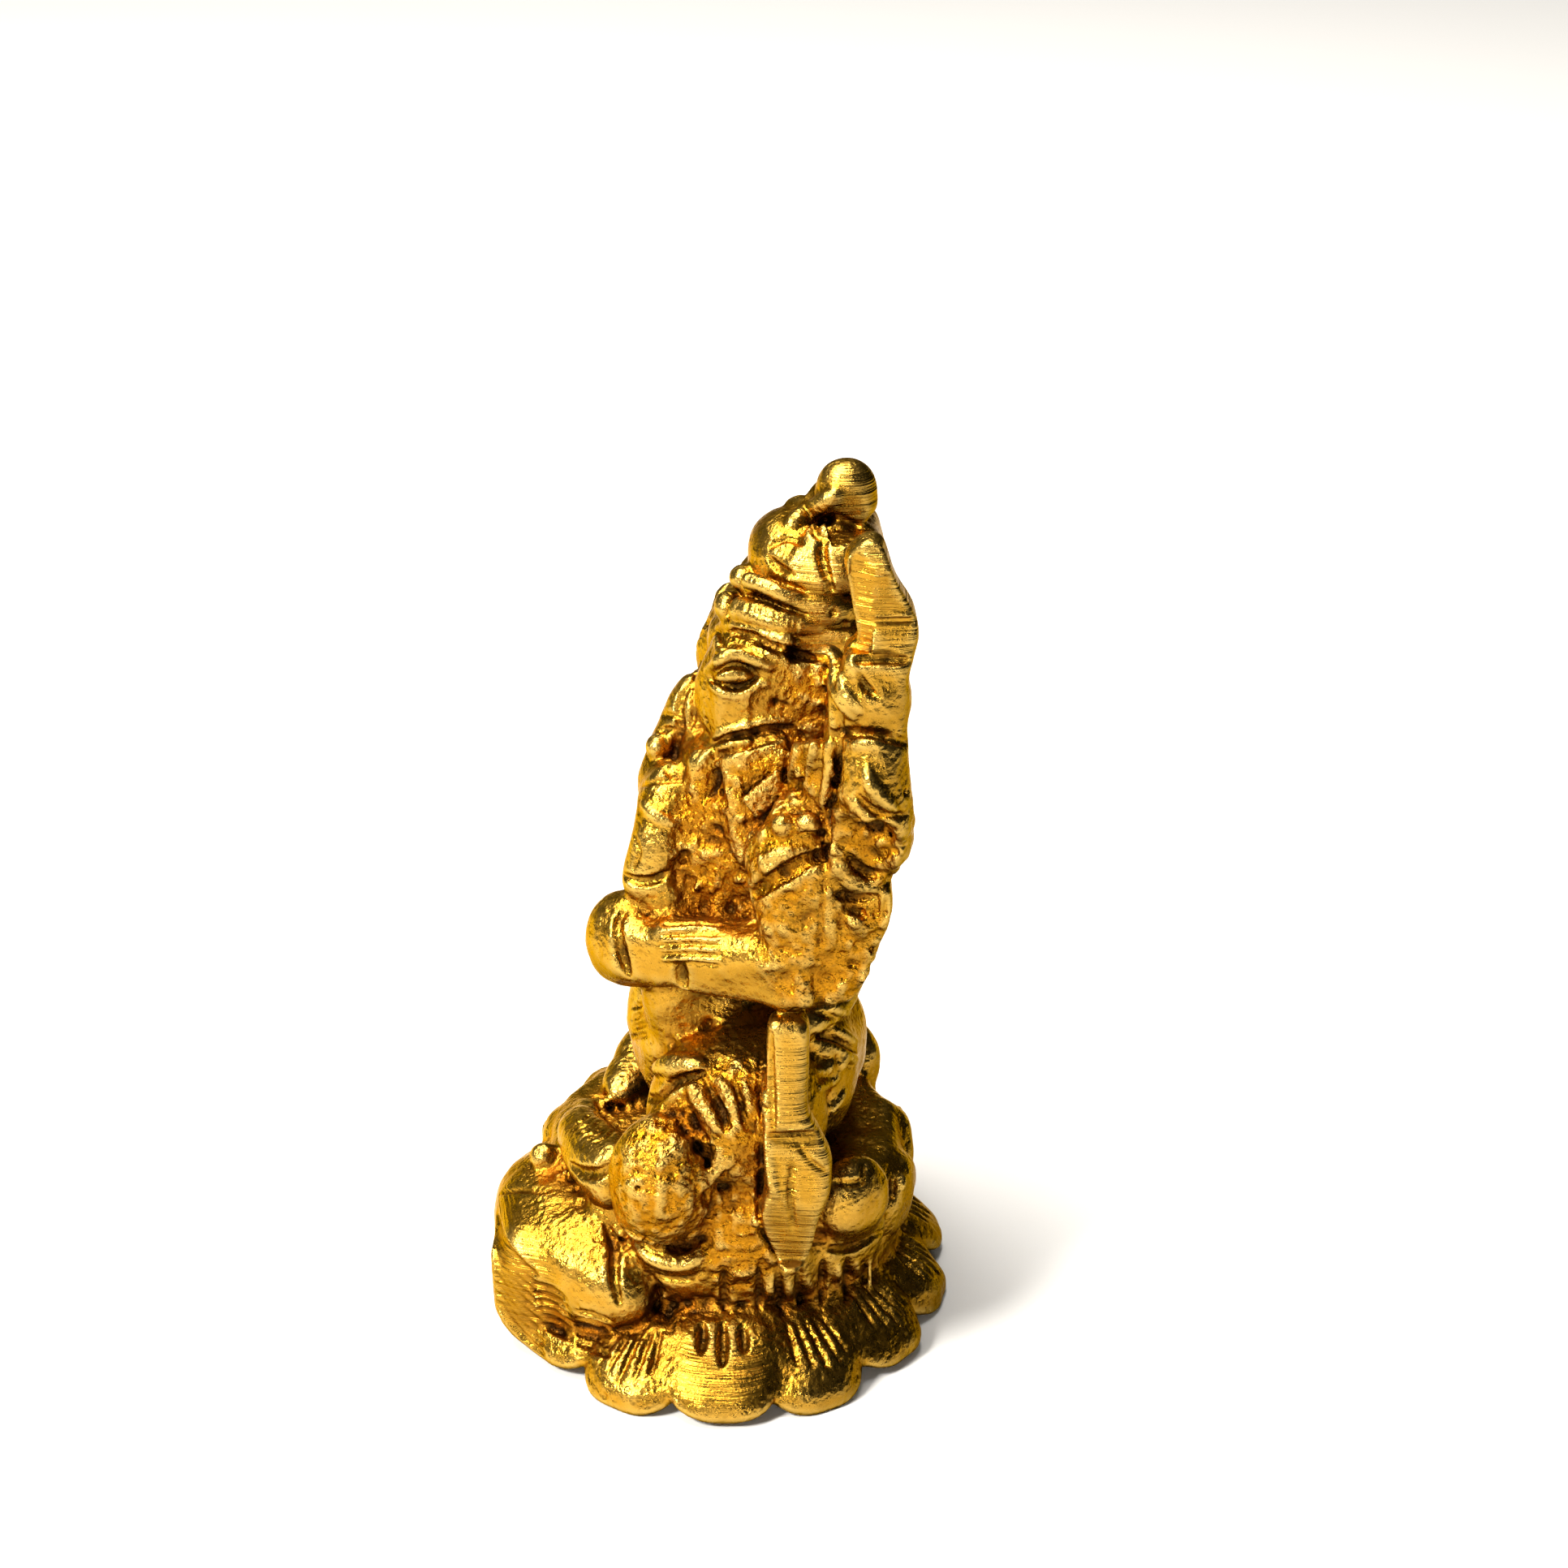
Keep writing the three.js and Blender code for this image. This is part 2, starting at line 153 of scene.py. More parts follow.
def melt(a, b, reach):
    """The union of two distance fields, with a fillet of about reach."""
    mix = np.maximum(reach - np.abs(a - b), 0) / reach
    return np.minimum(a, b) - mix * mix * reach / 4


def node_distance(name):
    """The distance to a CAD node's softened surface, in a window round it."""
    mesh = frame["nodes"][name].data
    mesh.calc_loop_triangles()
    points = np.empty(len(mesh.vertices) * 3, np.float32)
    mesh.vertices.foreach_get("co", points)
    corners = np.empty(len(mesh.loop_triangles) * 3, np.int32)
    mesh.loop_triangles.foreach_get("vertices", corners)
    points = points.reshape(-1, 3) / MM
    grid = vdb.FloatGrid.createLevelSetFromPolygons(
        points,
        triangles=corners.reshape(-1, 3).astype(np.uint32),
        transform=vdb.createLinearTransform(VOXEL),
        halfWidth=BAND / VOXEL,
    )
    part, _ = window(points.min(0), points.max(0), BAND)
    distance = np.empty([s.stop - s.start for s in part], np.float32)
    grid.copyToArray(distance, ijk=tuple(int(s.start + f) for s, f in zip(part, first_cell)))
    return part, blurred(distance, SOFTEN)


def share_out(number, part, distance):
    """Notes which cells lie nearest to this node, and how near the next one is."""
    closer = distance < nearest[part]
    second[part] = np.where(closer, nearest[part], np.minimum(second[part], distance))
    owner[part] = np.where(closer, number, owner[part])
    nearest[part] = np.minimum(nearest[part], distance)


names = sorted(frame["nodes"])
shapes = {}
for number, name in enumerate(names):
    part, distance = node_distance(name)
    shapes[name] = part, distance
    share_out(number, part, distance)
    field[part] = melt(field[part], distance, MELT)


def sampled(values, points):
    """The field's values at points, interpolated between cells."""
    place = points / VOXEL - first_cell
    low = np.clip(np.floor(place).astype(int), 0, cells - 2)
    share = (place - low).astype(np.float32)
    total = 0
    for corner in np.ndindex(2, 2, 2):
        weight = np.prod([share[:, a] if c else 1 - share[:, a] for a, c in enumerate(corner)], axis=0)
        total = total + weight * values[tuple(low[:, a] + c for a, c in enumerate(corner))]
    return total


# --- Solid forms, added to the field or cut from it ---


def add(shape, reach=0.4):
    """Melts a form into the statue, with a fillet of about reach."""
    part, distance = shape
    field[part] = melt(field[part], distance, reach)


def cut(shape, reach=0.25):
    """Takes a form away from the statue, with edges rounded by about reach."""
    part, distance = shape
    field[part] = -melt(-field[part], distance, reach)


def turned_window(centre, size, turn):
    """A window round a form, and its cells' coordinates in the form's own turned axes."""
    spin = np.array(Euler([math.radians(a) for a in turn]).to_matrix())
    reach = np.abs(spin) @ np.array(size)
    part, grid = window(centre - reach, centre + reach, FORM_MARGIN)
    offsets = [g - c for g, c in zip(grid, centre)]
    return part, [sum(o * spin[k, i] for k, o in enumerate(offsets)) for i in range(3)]


def ball(centre, radii, turn=(0, 0, 0), square=2.0):
    """An ellipsoid, whose outline in plan grows squarer as square rises above 2."""
    part, (x, y, z) = turned_window(np.asarray(centre), radii, turn)
    plan = (np.abs(x / radii[0]) ** square + np.abs(y / radii[1]) ** square) ** (2 / square)
    level = np.sqrt(plan + (z / radii[2]) ** 2) - 1
    # Divided by its own slope, the level measures millimetres.
    steep = np.sqrt(sum(g * g for g in np.gradient(level, VOXEL)))
    return part, np.clip(level / np.maximum(steep, 0.05), -BAND, BAND).astype(np.float32)


def block(centre, half, turn=(0, 0, 0), rounding=0.4):
    """A box with rounded edges. half holds half its length along each axis."""
    part, place = turned_window(np.asarray(centre), half, turn)
    over = [np.abs(p) - (h - rounding) for p, h in zip(place, half)]
    outside = np.sqrt(sum(np.maximum(o, 0) ** 2 for o in over))
    inside = np.minimum(np.maximum(np.maximum(over[0], over[1]), over[2]), 0)
    return part, (outside + inside - rounding).astype(np.float32)


def rod(line, radii):
    """A round rod that runs along a line of points."""
    part, grid = window(line.min(0), line.max(0), max(radii) + 1)
    distance = np.float32(BAND)
    for start, end, thick, thin in zip(line, line[1:], radii, radii[1:]):
        way = end - start
        offset = [g - s for g, s in zip(grid, start)]
        share = np.clip(sum(o * w for o, w in zip(offset, way)) / (way @ way), 0, 1)
        gap = np.sqrt(sum((o - share * w) ** 2 for o, w in zip(offset, way)))
        distance = np.minimum(distance, gap - thick - (thin - thick) * share)
    return part, distance.astype(np.float32)


def smooth(points, step=0.35):
    """A Catmull-Rom curve through points."""
    points = np.asarray(points, float)
    padded = np.vstack([2 * points[0] - points[1], points, 2 * points[-1] - points[-2]])
    line = []
    for a, b, c, d in zip(padded, padded[1:], padded[2:], padded[3:]):
        count = max(1, round(np.linalg.norm(c - b) / step))
        t = (np.arange(count) / count)[:, None]
        bend = (2 * a - 5 * b + 4 * c - d) * t**2 + (3 * b - a - 3 * c + d) * t**3
        line.append(b + (c - a) * t / 2 + bend / 2)
    return np.vstack([*line, points[-1:]])


# --- Carving ---

# Lines on the sides are laid on along a slant, as a carver who looks down on the wax would cut them.
SLANT = math.radians(ELEVATION)
STRAY = 2.4  # a point that lands further than this from the rest has missed the form
REACH = 6.0  # how far out the search for the skin begins, and how far in it ends


def side_way(side):
    """The carver's line of sight on one side of the figure: 1 is its left, -1 its right."""
    return np.array([side * math.cos(SLANT), 0, math.sin(SLANT)])


def landed(points, way, stray=STRAY):
    """Slides points along a direction, from outside, until they lie on the skin."""
    points = np.asarray(points, float)
    steps = np.arange(REACH, -REACH, -VOXEL / 2)
    tracks = points[:, None] + steps[:, None] * way
    inside = sampled(field, tracks.reshape(-1, 3)).reshape(len(points), -1) < 0
    slid = steps[inside.argmax(1)]
    usual = np.median(slid[inside.any(1)]) if inside.any() else 0
    kept = inside.any(1) & ~inside[:, 0] & (np.abs(slid - usual) < stray)
    return (points + slid[:, None] * way)[kept]


def middle(side, name):
    """The middle of a node's box. A star in the name stands for left or right."""
    return sum(node_box(name.replace("*", "left" if side > 0 else "right"))) / 2


def beside(side, name, out, places):
    """Points at a distance out from the midplane, and at (along, up) from the middle of a node's box."""
    _, along, up = middle(side, name)
    return np.array([[side * out, along + a, up + u] for a, u in places])


def shifted(places, along, up):
    """The same line, moved along the figure and up."""
    return [(a + along, u + up) for a, u in places]


def stroke(work, points, way, radius, blunt, reach, stray=STRAY):
    """Adds or cuts a rod that follows the skin and narrows to a share of its radius at its ends."""
    line = landed(smooth(points), way, stray)
    if len(line) > 1:
        share = np.linspace(0.02, 0.98, len(line))
        work(rod(line, radius * (blunt + (1 - blunt) * np.sqrt(np.sin(np.pi * share)))), reach)


def ridge(side, name, out, places, radius, blunt=0.35):
    """A raised line on one side of the figure."""
    stroke(add, beside(side, name, out, places), side_way(side), radius, blunt, 0.3)


def groove(side, name, out, places, radius, blunt=0.3, stray=STRAY):
    """A cut line on one side of the figure."""
    stroke(cut, beside(side, name, out, places), side_way(side), radius, blunt, 0.15, stray)


def bump(side, name, out, place, radii):
    """A small knob on the skin."""
    for point in landed(beside(side, name, out, [place]), side_way(side)):
        add(ball(point, radii), 0.35)


def pit(side, name, out, place, radius):
    """A small round hole in the skin."""
    for point in landed(beside(side, name, out, [place]), side_way(side)):
        cut(ball(point, (radius, radius, radius)), 0.15)


# --- Large forms ---

ROUND_NODES = ["*_knee", "*_thigh", "*_skirt", "*_ear", "sweet_ball", "crown_jewel"]


def round_off(side, name):
    """Fills out a faceted node to the ellipsoid of its own box, 2 percent larger."""
    low, high = node_box(name.replace("*", "left" if side > 0 else "right"))
    add(ball((low + high) / 2, (high - low) / 2 * 1.02), 0.5)


def broaden_petals():
    """Swells each petal of the lower lotus to a broad tongue with a thick rounded rim."""
    reach = np.array([node_box("lower_petal_01")[1][0], node_box("lower_petal_04")[1][1]])
    half = (4.9, 3.8, 1.3)
    tilt = 31
    count = sum(name.startswith("lower_petal") for name in names)
    for number in range(count):
        angle = number * 2 * math.pi / count
        across, along = (reach - 4.4) * (math.cos(angle), math.sin(angle))
        heading = math.atan2(math.sin(angle) / reach[1], math.cos(angle) / reach[0])
        drop = 0.35 if number % 2 else 0.0
        turn = (0, tilt, math.degrees(heading))
        add(ball((across, along, 3.0 - drop), half, turn, square=2.8), 0.35)


def flatten_head(side):
    """The cheek is one broad plane, and the crown is filed flat beside it."""
    _, along, up = middle(side, "head")
    add(block((side * 4.3, along - 1.9, up + 1.2), (1.9, 3.1, 3.2), rounding=0.9), 0.5)
    cut(block((side * 7.9, along - 0.4, up + 1.4), (1.6, 2.4, 3.6), rounding=0.15), 0.15)
    cut(block((side * 10.4, along - 0.4, up + 3.2), (3.2, 2.4, 2.6), (0, side * -ELEVATION, 0), 0.3), 0.3)
    _, along, up = middle(side, "crown_upper_band")
    cut(block((side * 7.2, along + 0.4, up + 0.4), (1.6, 1.8, 3.4), rounding=0.15), 0.15)


def join_arm(side):
    """Upper arm, elbow and hanging cloth run together into one slab that is filed flat outside."""
    _, along, up = middle(side, "front_*_upper_arm")
    add(block((side * 10.9, along + 1.1, up - 2.9), (2.4, 2.4, 4.4), rounding=0.9), 1.2)
    add(block((side * 11.0, along + 0.4, up + 2.6), (1.9, 1.9, 3.0), (0, side * -8, 0), 0.9), 0.9)
    cut(block((side * 15.7, along + 0.4, up - 1.0), (2.0, 5.6, 7.4), (0, side * 3, side * 6), 1.6), 0.6)


def join_rear_hand(side):
    """Hand and wrist are one straight post below what they hold."""
    across, along, up = middle(side, "rear_*_hand")
    across = abs(across)
    post = block((side * (across - 0.3), along - 0.2, up + 0.2), (1.7, 1.9, 3.4), (-4, side * 4, 0), 0.8)
    add(post, 0.9)


def join_forearm():
    """The left forearm and hand end below in one flat edge."""
    across, along, up = middle(1, "front_left_forearm")
    add(block((across - 0.4, along - 0.3, up - 0.1), (1.9, 5.2, 2.0), (0, 0, -22), 0.7), 0.8)
    cut(block((across + 4.0, along - 0.6, up - 1.0), (2.0, 6.0, 2.0), (0, 10, -22), 0.1), 0.2)
    across, along, up = middle(1, "left_hand")
    add(block((across - 0.4, along - 0.1, up + 0.3), (1.6, 2.2, 1.8), (0, 0, -20), 0.9), 0.8)


def fill_breast():
    """Rough metal closes the hollow between trunk, chest and forearm with a slanting wall."""
    _, along, up = middle(1, "front_left_forearm")
    add(block((5.0, along - 0.9, up + 6.4), (2.0, 2.8, 5.4), (0, -9, 0), 1.0), 1.0)
    add(block((6.4, along + 0.9, up + 9.3), (1.8, 2.1, 3.2), (0, -9, 0), 1.0), 1.0)
    add(ball((5.6, along - 4.7, up + 2.0), (2.4, 1.7, 2.4)), 1.0)
    across, along, up = middle(1, "trunk")
    add(ball((across + 1.8, along - 0.4, up - 2.5), (2.2, 2.5, 4.6), (8, 0, 0)), 0.9)


def face_the_axe():
    """Flat filed facets down the outer face of the axe, a bevel in front of them, and one on the finial."""
    across, along, up = middle(1, "axe")
    facets = ((3.1, 26, 0.9), (0.7, -4, 1.2), (-1.9, 24, 1.55))
    for height, lean, out in facets:
        tilt = math.radians(lean)
        place = (across + out + 2 * math.cos(tilt), along + 0.2, up + height + 2 * math.sin(tilt))
        cut(block(place, (2.0, 2.8, 1.25), (0, -lean, 4), 0.08), 0.1)
    cut(block((across + 2.6, along - 2.1, up + 1.6), (2.0, 0.8, 4.5), (0, 0, -30), 0.1), 0.12)
    across, along, up = middle(1, "crown_finial")
    cut(block((across + 3.7, along + 0.7, up - 0.4), (2.0, 1.8, 1.9), (0, 4, 10), 0.1), 0.12)


def fill_under_knee():
    """Rough metal closes the gaps between knee, falling cloth and seat, and at the belly's side."""
    across, along, up = middle(1, "left_skirt")
    add(block((across - 0.1, along - 1.0, up + 2.9), (1.8, 2.4, 5.4), (0, -4, 0), 1.0), 1.0)
    across, along, up = middle(1, "waist_belt")
    add(ball((across + 5.6, along - 5.3, up + 1.8), (2.2, 2.2, 2.8)), 1.2)


def square_the_mouse():
    """The mouse's flank is flattened above and in front."""
    across, along, up = middle(1, "mouse_body")
    add(block((across + 0.8, along - 1.2, up - 0.8), (5.6, 3.8, 4.2), (0, 6, -6), 2.4), 1.6)


for name in ROUND_NODES:
    for side in (1, -1) if "*" in name else (1,):
        round_off(side, name)
broaden_petals()
for side in (1, -1):
    flatten_head(side)
    join_arm(side)
    join_rear_hand(side)
join_forearm()
fill_breast()
face_the_axe()
fill_under_knee()
square_the_mouse()

# --- The casting's grain ---

# Zones of the skin: node, offset from the middle of its box, and radii. Filed zones are the smoothest.
FILED = [
    ("crown_finial", (1.3, 0.6, 0.0), (1.9, 2.0, 2.2)),
    ("crown_upper_band", (5.6, 0.2, 1.4), (1.8, 2.0, 4.6)),
    ("axe", (1.2, 0.3, 0.0), (2.4, 2.2, 4.6)),
    ("left_sash", (1.4, 0.0, -1.0), (2.6, 2.6, 9.5)),
    ("mouse_body", (2.0, -3.0, -0.5), (7.0, 4.5, 4.0)),
    ("lower_petal_01", (1.0, 0.0, 0.4), (4.5, 3.0, 2.0)),
]
ROUGH = [
    ("left_knee", (1.0, 0.4, 0.0), (3.2, 3.6, 4.8)),
    ("left_thigh", (4.0, -0.4, 0.6), (3.0, 4.0, 5.4)),
    ("left_ear", (0.0, -0.6, -1.6), (3.5, 2.6, 5.2)),
    ("left_skirt", (1.0, 0.0, 1.0), (3.0, 3.2, 5.0)),
    ("front_left_forearm", (-4.0, -1.0, 6.0), (3.4, 3.6, 5.6)),
    ("front_left_upper_arm", (0.0, 0.0, 0.6), (4.2, 3.4, 5.4)),
    ("front_left_upper_arm", (1.0, 2.0, -3.6), (4.6, 4.6, 4.6)),
    ("rear_left_arm", (0.6, 0.0, -1.0), (3.6, 3.0, 4.6)),
    ("head", (5.0, 1.4, 0.6), (3.4, 2.4, 4.0)),
    ("torso", (7.0, 0.6, 10.2), (4.6, 3.6, 5.6)),
]


def speckle(size, seed):
    """Smooth random values over the field, in bumps about size millimetres wide."""
    knots = np.ceil(cells * VOXEL / size).astype(int) + 2
    values = np.random.default_rng(seed).standard_normal(knots).astype(np.float32)
    for axis, count in enumerate(cells):
        place = np.arange(count) * VOXEL / size
        low = place.astype(int)
        share = place - low
        share = (share * share * (3 - 2 * share)).astype(np.float32)
        share = share.reshape([-1 if a == axis else 1 for a in range(3)])
        values = np.take(values, low, axis) * (1 - share) + np.take(values, low + 1, axis) * share
    return values


def zones(places):
    """1 inside the zones, on both sides of the figure, and 0 outside them."""
    share = np.zeros(cells, np.float32)
    for name, offset, radii in places:
        across, along, up = middle(1, name) + offset
        for side in (1, -1):
            part, distance = ball((side * across, along, up), radii)
            share[part] = np.maximum(share[part], np.clip(0.4 - distance, 0, 1))
    return share


# Waves of grain: size, seed, height on plain skin, and what recesses and rough zones add to it.
GRAIN = [
    (1.2, 2, 0.03, 0.05, 0.05),
    (0.7, 3, 0.012, 0.06, 0.07),
    (0.45, 4, 0.004, 0.07, 0.06),
]

filed = zones(FILED)
rough = zones(ROUGH)
recess = np.clip((field - blurred(field, 1.0)) / 0.25, 0, 1)
calm = 1 - 0.9 * filed
field += speckle(2.6, 1) * 0.08 * (1 - 0.5 * filed)
for size, seed, plain_height, in_recess, in_rough in GRAIN:
    field += speckle(size, seed) * (plain_height + in_recess * recess + in_rough * rough) * calm
# A few high specks stand out as grains of their own.
field += np.maximum(speckle(0.6, 5) - 1.5, 0) * (0.1 + 0.35 * rough) * calm
del recess, calm

# --- Carved detail ---


def carve_eye(side):
    """An almond of two lids in a deep ring, below a brow."""
    out = 5.6
    line = [(-5.1, 2.55), (-4.4, 3.25), (-3.6, 3.45), (-2.9, 3.2), (-2.4, 2.65)]
    groove(side, "head", out, line, 0.38, 0.5)
    line = [(-5.0, 2.45), (-4.4, 2.0), (-3.8, 1.8), (-3.1, 1.9), (-2.4, 2.45)]
    groove(side, "head", out, line, 0.38, 0.5)
    ridge(side, "head", out, [(-4.9, 2.55), (-3.8, 2.7), (-2.8, 2.6)], 0.34, 0.2)
    ridge(side, "head", out, [(-5.4, 3.15), (-4.4, 3.85), (-3.5, 4.15), (-2.6, 3.8), (-1.5, 3.25)], 0.44)
    line = [(-5.2, 2.05), (-4.6, 1.6), (-3.6, 1.4), (-2.8, 1.65), (-2.2, 2.15), (-1.6, 2.05)]
    ridge(side, "head", out, line, 0.26)
    groove(side, "head", out, [(-5.0, 4.05), (-4.5, 4.4), (-3.7, 4.6), (-2.9, 4.45), (-2.2, 3.95)], 0.24)
    ridge(side, "head", out, [(-3.7, 5.25), (-2.6, 4.95), (-1.9, 4.45), (-1.2, 3.95)], 0.28)
    groove(side, "head", out, [(-2.2, 5.15), (-1.5, 4.55), (-0.7, 4.15)], 0.18)


def carve_forehead(side):
    """The folds above the eye, and the line that parts brow from trunk."""
    out = 5.2
    ridge(side, "head", out, [(-5.5, 5.65), (-4.8, 5.95), (-3.7, 5.95), (-3.0, 5.65)], 0.3)
    groove(side, "head", out, [(-4.9, 5.65), (-4.6, 5.05), (-4.5, 4.55), (-4.0, 4.45)], 0.22)
    ridge(side, "head", out, [(-4.85, 5.25), (-4.75, 4.65)], 0.24)
    line = [(-5.1, 5.25), (-5.5, 4.55), (-5.7, 3.65), (-6.0, 3.05), (-6.3, 1.95)]
    groove(side, "head", 5.0, line, 0.28)
    groove(side, "head", 5.0, [(-6.3, 1.95), (-6.4, 1.05), (-6.3, 0.15), (-6.5, -0.95)], 0.2)
    line = [(-6.5, 2.05), (-7.1, 1.05), (-7.3, 0.05), (-7.2, -1.05), (-7.5, -2.25), (-7.6, -3.35)]
    groove(side, "head", 4.6, line, 0.42)
    ridge(side, "head", 4.6, [(-5.8, 4.35), (-6.2, 3.35), (-6.5, 2.65)], 0.3)


def carve_cheek(side):
    """The folds that sweep back from the mouth, with three pits above them."""
    out = 5.6
    line = [(-5.2, -1.75), (-4.6, -1.25), (-3.6, -0.85), (-2.6, -0.6), (-1.4, -0.35), (-0.2, -0.25)]
    ridge(side, "head", out, line, 0.36)
    line = [(-5.4, -2.25), (-4.2, -1.5), (-2.8, -1.15), (-1.6, -0.85), (0, -0.75)]
    groove(side, "head", out, line, 0.34)
    line = [(-6.0, -3.45), (-5.6, -2.85), (-5.1, -2.3), (-4.2, -2.0), (-2.9, -1.75)]
    ridge(side, "head", out, line, 0.3)
    groove(side, "head", out, [(-4.9, -2.85), (-4.2, -2.45), (-3.3, -2.25), (-2.4, -2.1)], 0.26)
    ridge(side, "head", out, [(-4.6, -3.05), (-3.4, -2.75), (-2.0, -2.35), (-0.6, -1.75)], 0.26)
    for along, up, size in ((-1.2, 0.85, 0.3), (-5.5, -0.25, 0.18), (-0.6, 0.75, 0.2)):
        pit(side, "head", out, (along, up), size)


def carve_beads(side):
    """A short string of slanted beads hangs under the cheek."""
    _, along, up = middle(side, "torso")
    for number in range(6):
        top = np.array([side * 8.7, along + 0.2 + 0.36 * number, up + 13.0 + 0.34 * number])
        add(rod(np.array([top, top + (0, 0.65, -0.95)]), (0.3, 0.3)), 0.12)


def carve_ear(side):
    """Strands run down the ear; dark holes mark its border with the rear arm."""
    out = 8.5
    ridge(side, "*_ear", out, [(-1.25, 1.0), (-1.75, -0.8), (-2.05, -3.0), (-1.95, -4.8)], 0.28)
    ridge(side, "*_ear", out, [(-0.55, 1.0), (-0.85, -0.6), (-1.15, -2.6), (-1.25, -4.0)], 0.26)
    ridge(side, "*_ear", out, [(0.45, -1.8), (0.05, -3.0), (-0.05, -4.2), (-0.25, -5.2)], 0.28)
    groove(side, "*_ear", out, [(-1.05, -0.4), (-1.35, -1.9), (-1.55, -3.8)], 0.22)
    groove(side, "*_ear", out, [(-0.25, 0), (-0.45, -2.0), (-0.55, -4.0)], 0.24)
    groove(side, "*_ear", out, [(-2.35, -1.8), (-2.55, -3.6), (-2.75, -5.1)], 0.26)
    groove(side, "*_ear", out, [(0.85, 1.2), (0.65, -0.8), (0.75, -2.6), (0.55, -4.8)], 0.32, 0.5)
    for along, up, size in ((0.55, -3.1, 0.4), (0.35, -0.3, 0.4)):
        pit(side, "*_ear", out, (along, up), size)
    ridge(side, "*_ear", out, [(0.45, 4.0), (0.55, 2.8), (1.15, 1.5), (1.95, 0.5)], 0.5)


def carve_bands(side):
    """Deep grooves part the bands. The knobs at their front are worn away on the right."""
    name = "crown_upper_band"
    out = 5.4
    if side > 0:
        bump(side, name, 5.0, (-4.35, 2.4), (1.0, 0.85, 0.8))
    groove(side, name, out, [(-4.6, 1.3), (-3.4, 0.9), (-2.1, 0.3), (-0.6, -0.3)], 0.42, 0.5)
    groove(side, name, out, [(-2.4, 2.2), (-1.3, 1.7), (-0.4, 1.1)], 0.26)
    name = "crown_lower_band"
    if side > 0:
        bump(side, name, 5.0, (-5.1, 2.4), (1.1, 0.85, 0.95))
    groove(side, name, out, [(-4.4, 3.0), (-4.65, 2.4), (-4.7, 1.8), (-4.4, 1.4)], 0.3)
    ridge(side, name, 5.8, [(-4.2, 1.15), (-3.1, 0.85), (-1.7, 0.3), (-0.4, -0.05)], 0.34)
    groove(side, name, 5.8, [(-4.6, 0.9), (-3.8, 0.6), (-2.8, 0.2), (-1.6, -0.4), (0.1, -0.9)], 0.42, 0.5)


# Each rope on the crown: radius in front, and (across, along, up) from the middle of the upper band's box.
ROPES = [
    (0.55, [(3.6, -3.9, 1.4), (4.5, -2.9, 1.4), (5.1, -1.7, 1.0), (4.8, -0.1, 0.5)]),
    (0.85, [(3.4, -4.4, -0.6), (4.7, -3.2, -0.4), (5.4, -1.8, -0.6), (5.0, 0.0, -1.0)]),
]


def carve_ropes(side):
    """The bands' rounded ropes, worn away in front on the right. Nicks cross the lower band."""
    centre = middle(side, "crown_upper_band")
    first = 0 if side > 0 else 1
    for radius, points in ROPES:
        line = smooth([centre + (side * across, along, up) for across, along, up in points[first:]])
        add(rod(line, np.linspace(radius, 0.8 * radius, len(line))), 0.15)
    for number in range(10):
        nick = [(-3.75, 2.8), (-3.85, 2.3), (-3.85, 1.8)]
        groove(side, "crown_lower_band", 5.8, shifted(nick, 0.33 * number, -0.13 * number), 0.12)


def carve_crown(side):
    """A ridge behind the dome's front bulge, and grooves that part the dome into lobes."""
    name = "crown_dome"
    ridge(side, name, 4.0, [(-0.05, 5.9), (-0.85, 5.4), (-1.85, 4.8), (-2.55, 4.2)], 0.7, 0.7)
    line = [(1.25, 4.3), (0.15, 4.7), (-0.85, 4.5), (-1.35, 4.0), (-0.95, 3.3)]
    groove(side, name, 4.5, line, 0.36, 0.5)
    groove(side, name, 5.0, [(-0.65, 3.6), (-0.85, 2.7), (-0.75, 1.7), (-0.35, 0.4)], 0.36, 0.5)
    groove(side, name, 4.6, [(-4.05, 2.8), (-3.45, 3.2), (-2.75, 3.4), (-2.05, 2.9)], 0.26)
    groove(side, name, 4.6, [(-4.05, 2.1), (-3.45, 1.4), (-2.55, 0.8)], 0.3)
    pit(side, name, 5.4, (-0.3, 0.3), 0.3)
    pit(side, name, 5.4, (-0.15, -1.3), 0.28)


def carve_trunk():
    """Rings on the trunk's root, and the folds beside the tusk."""
    out = 5.6
    root_out = 3.2
    for low, high in (((-2.3, 4.6), (-0.6, 4.8)), ((-2.0, 3.5), (-0.6, 3.9)), ((-2.8, 1.9), (-0.9, 1.9))):
        line = [low, ((low[0] + high[0]) / 2, (low[1] + high[1]) / 2 + 0.15), high]
        groove(1, "trunk", root_out, line, 0.22)
    bump(1, "trunk", root_out, (-1.8, 2.7), (0.9, 0.75, 0.8))
    groove(1, "trunk", out, [(-1.2, 2.4), (-0.8, 1.8), (-0.1, 1.7)], 0.25)
    groove(1, "trunk", out, [(-3.1, 0.8), (-2.3, 1.2), (-1.3, 1.4), (-0.1, 1.4)], 0.2)
    ridge(1, "trunk", out, [(-2.6, -0.2), (-1.9, -0.9), (-0.9, -1.4), (0.1, -1.2)], 0.35)
    groove(1, "trunk", out, [(-3.8, -5.1), (-2.9, -5.5), (-1.9, -5.4), (-1.1, -4.9)], 0.4)
    groove(1, "trunk", out, [(-3.0, -2.5), (-2.8, -3.5), (-3.2, -4.7)], 0.16)


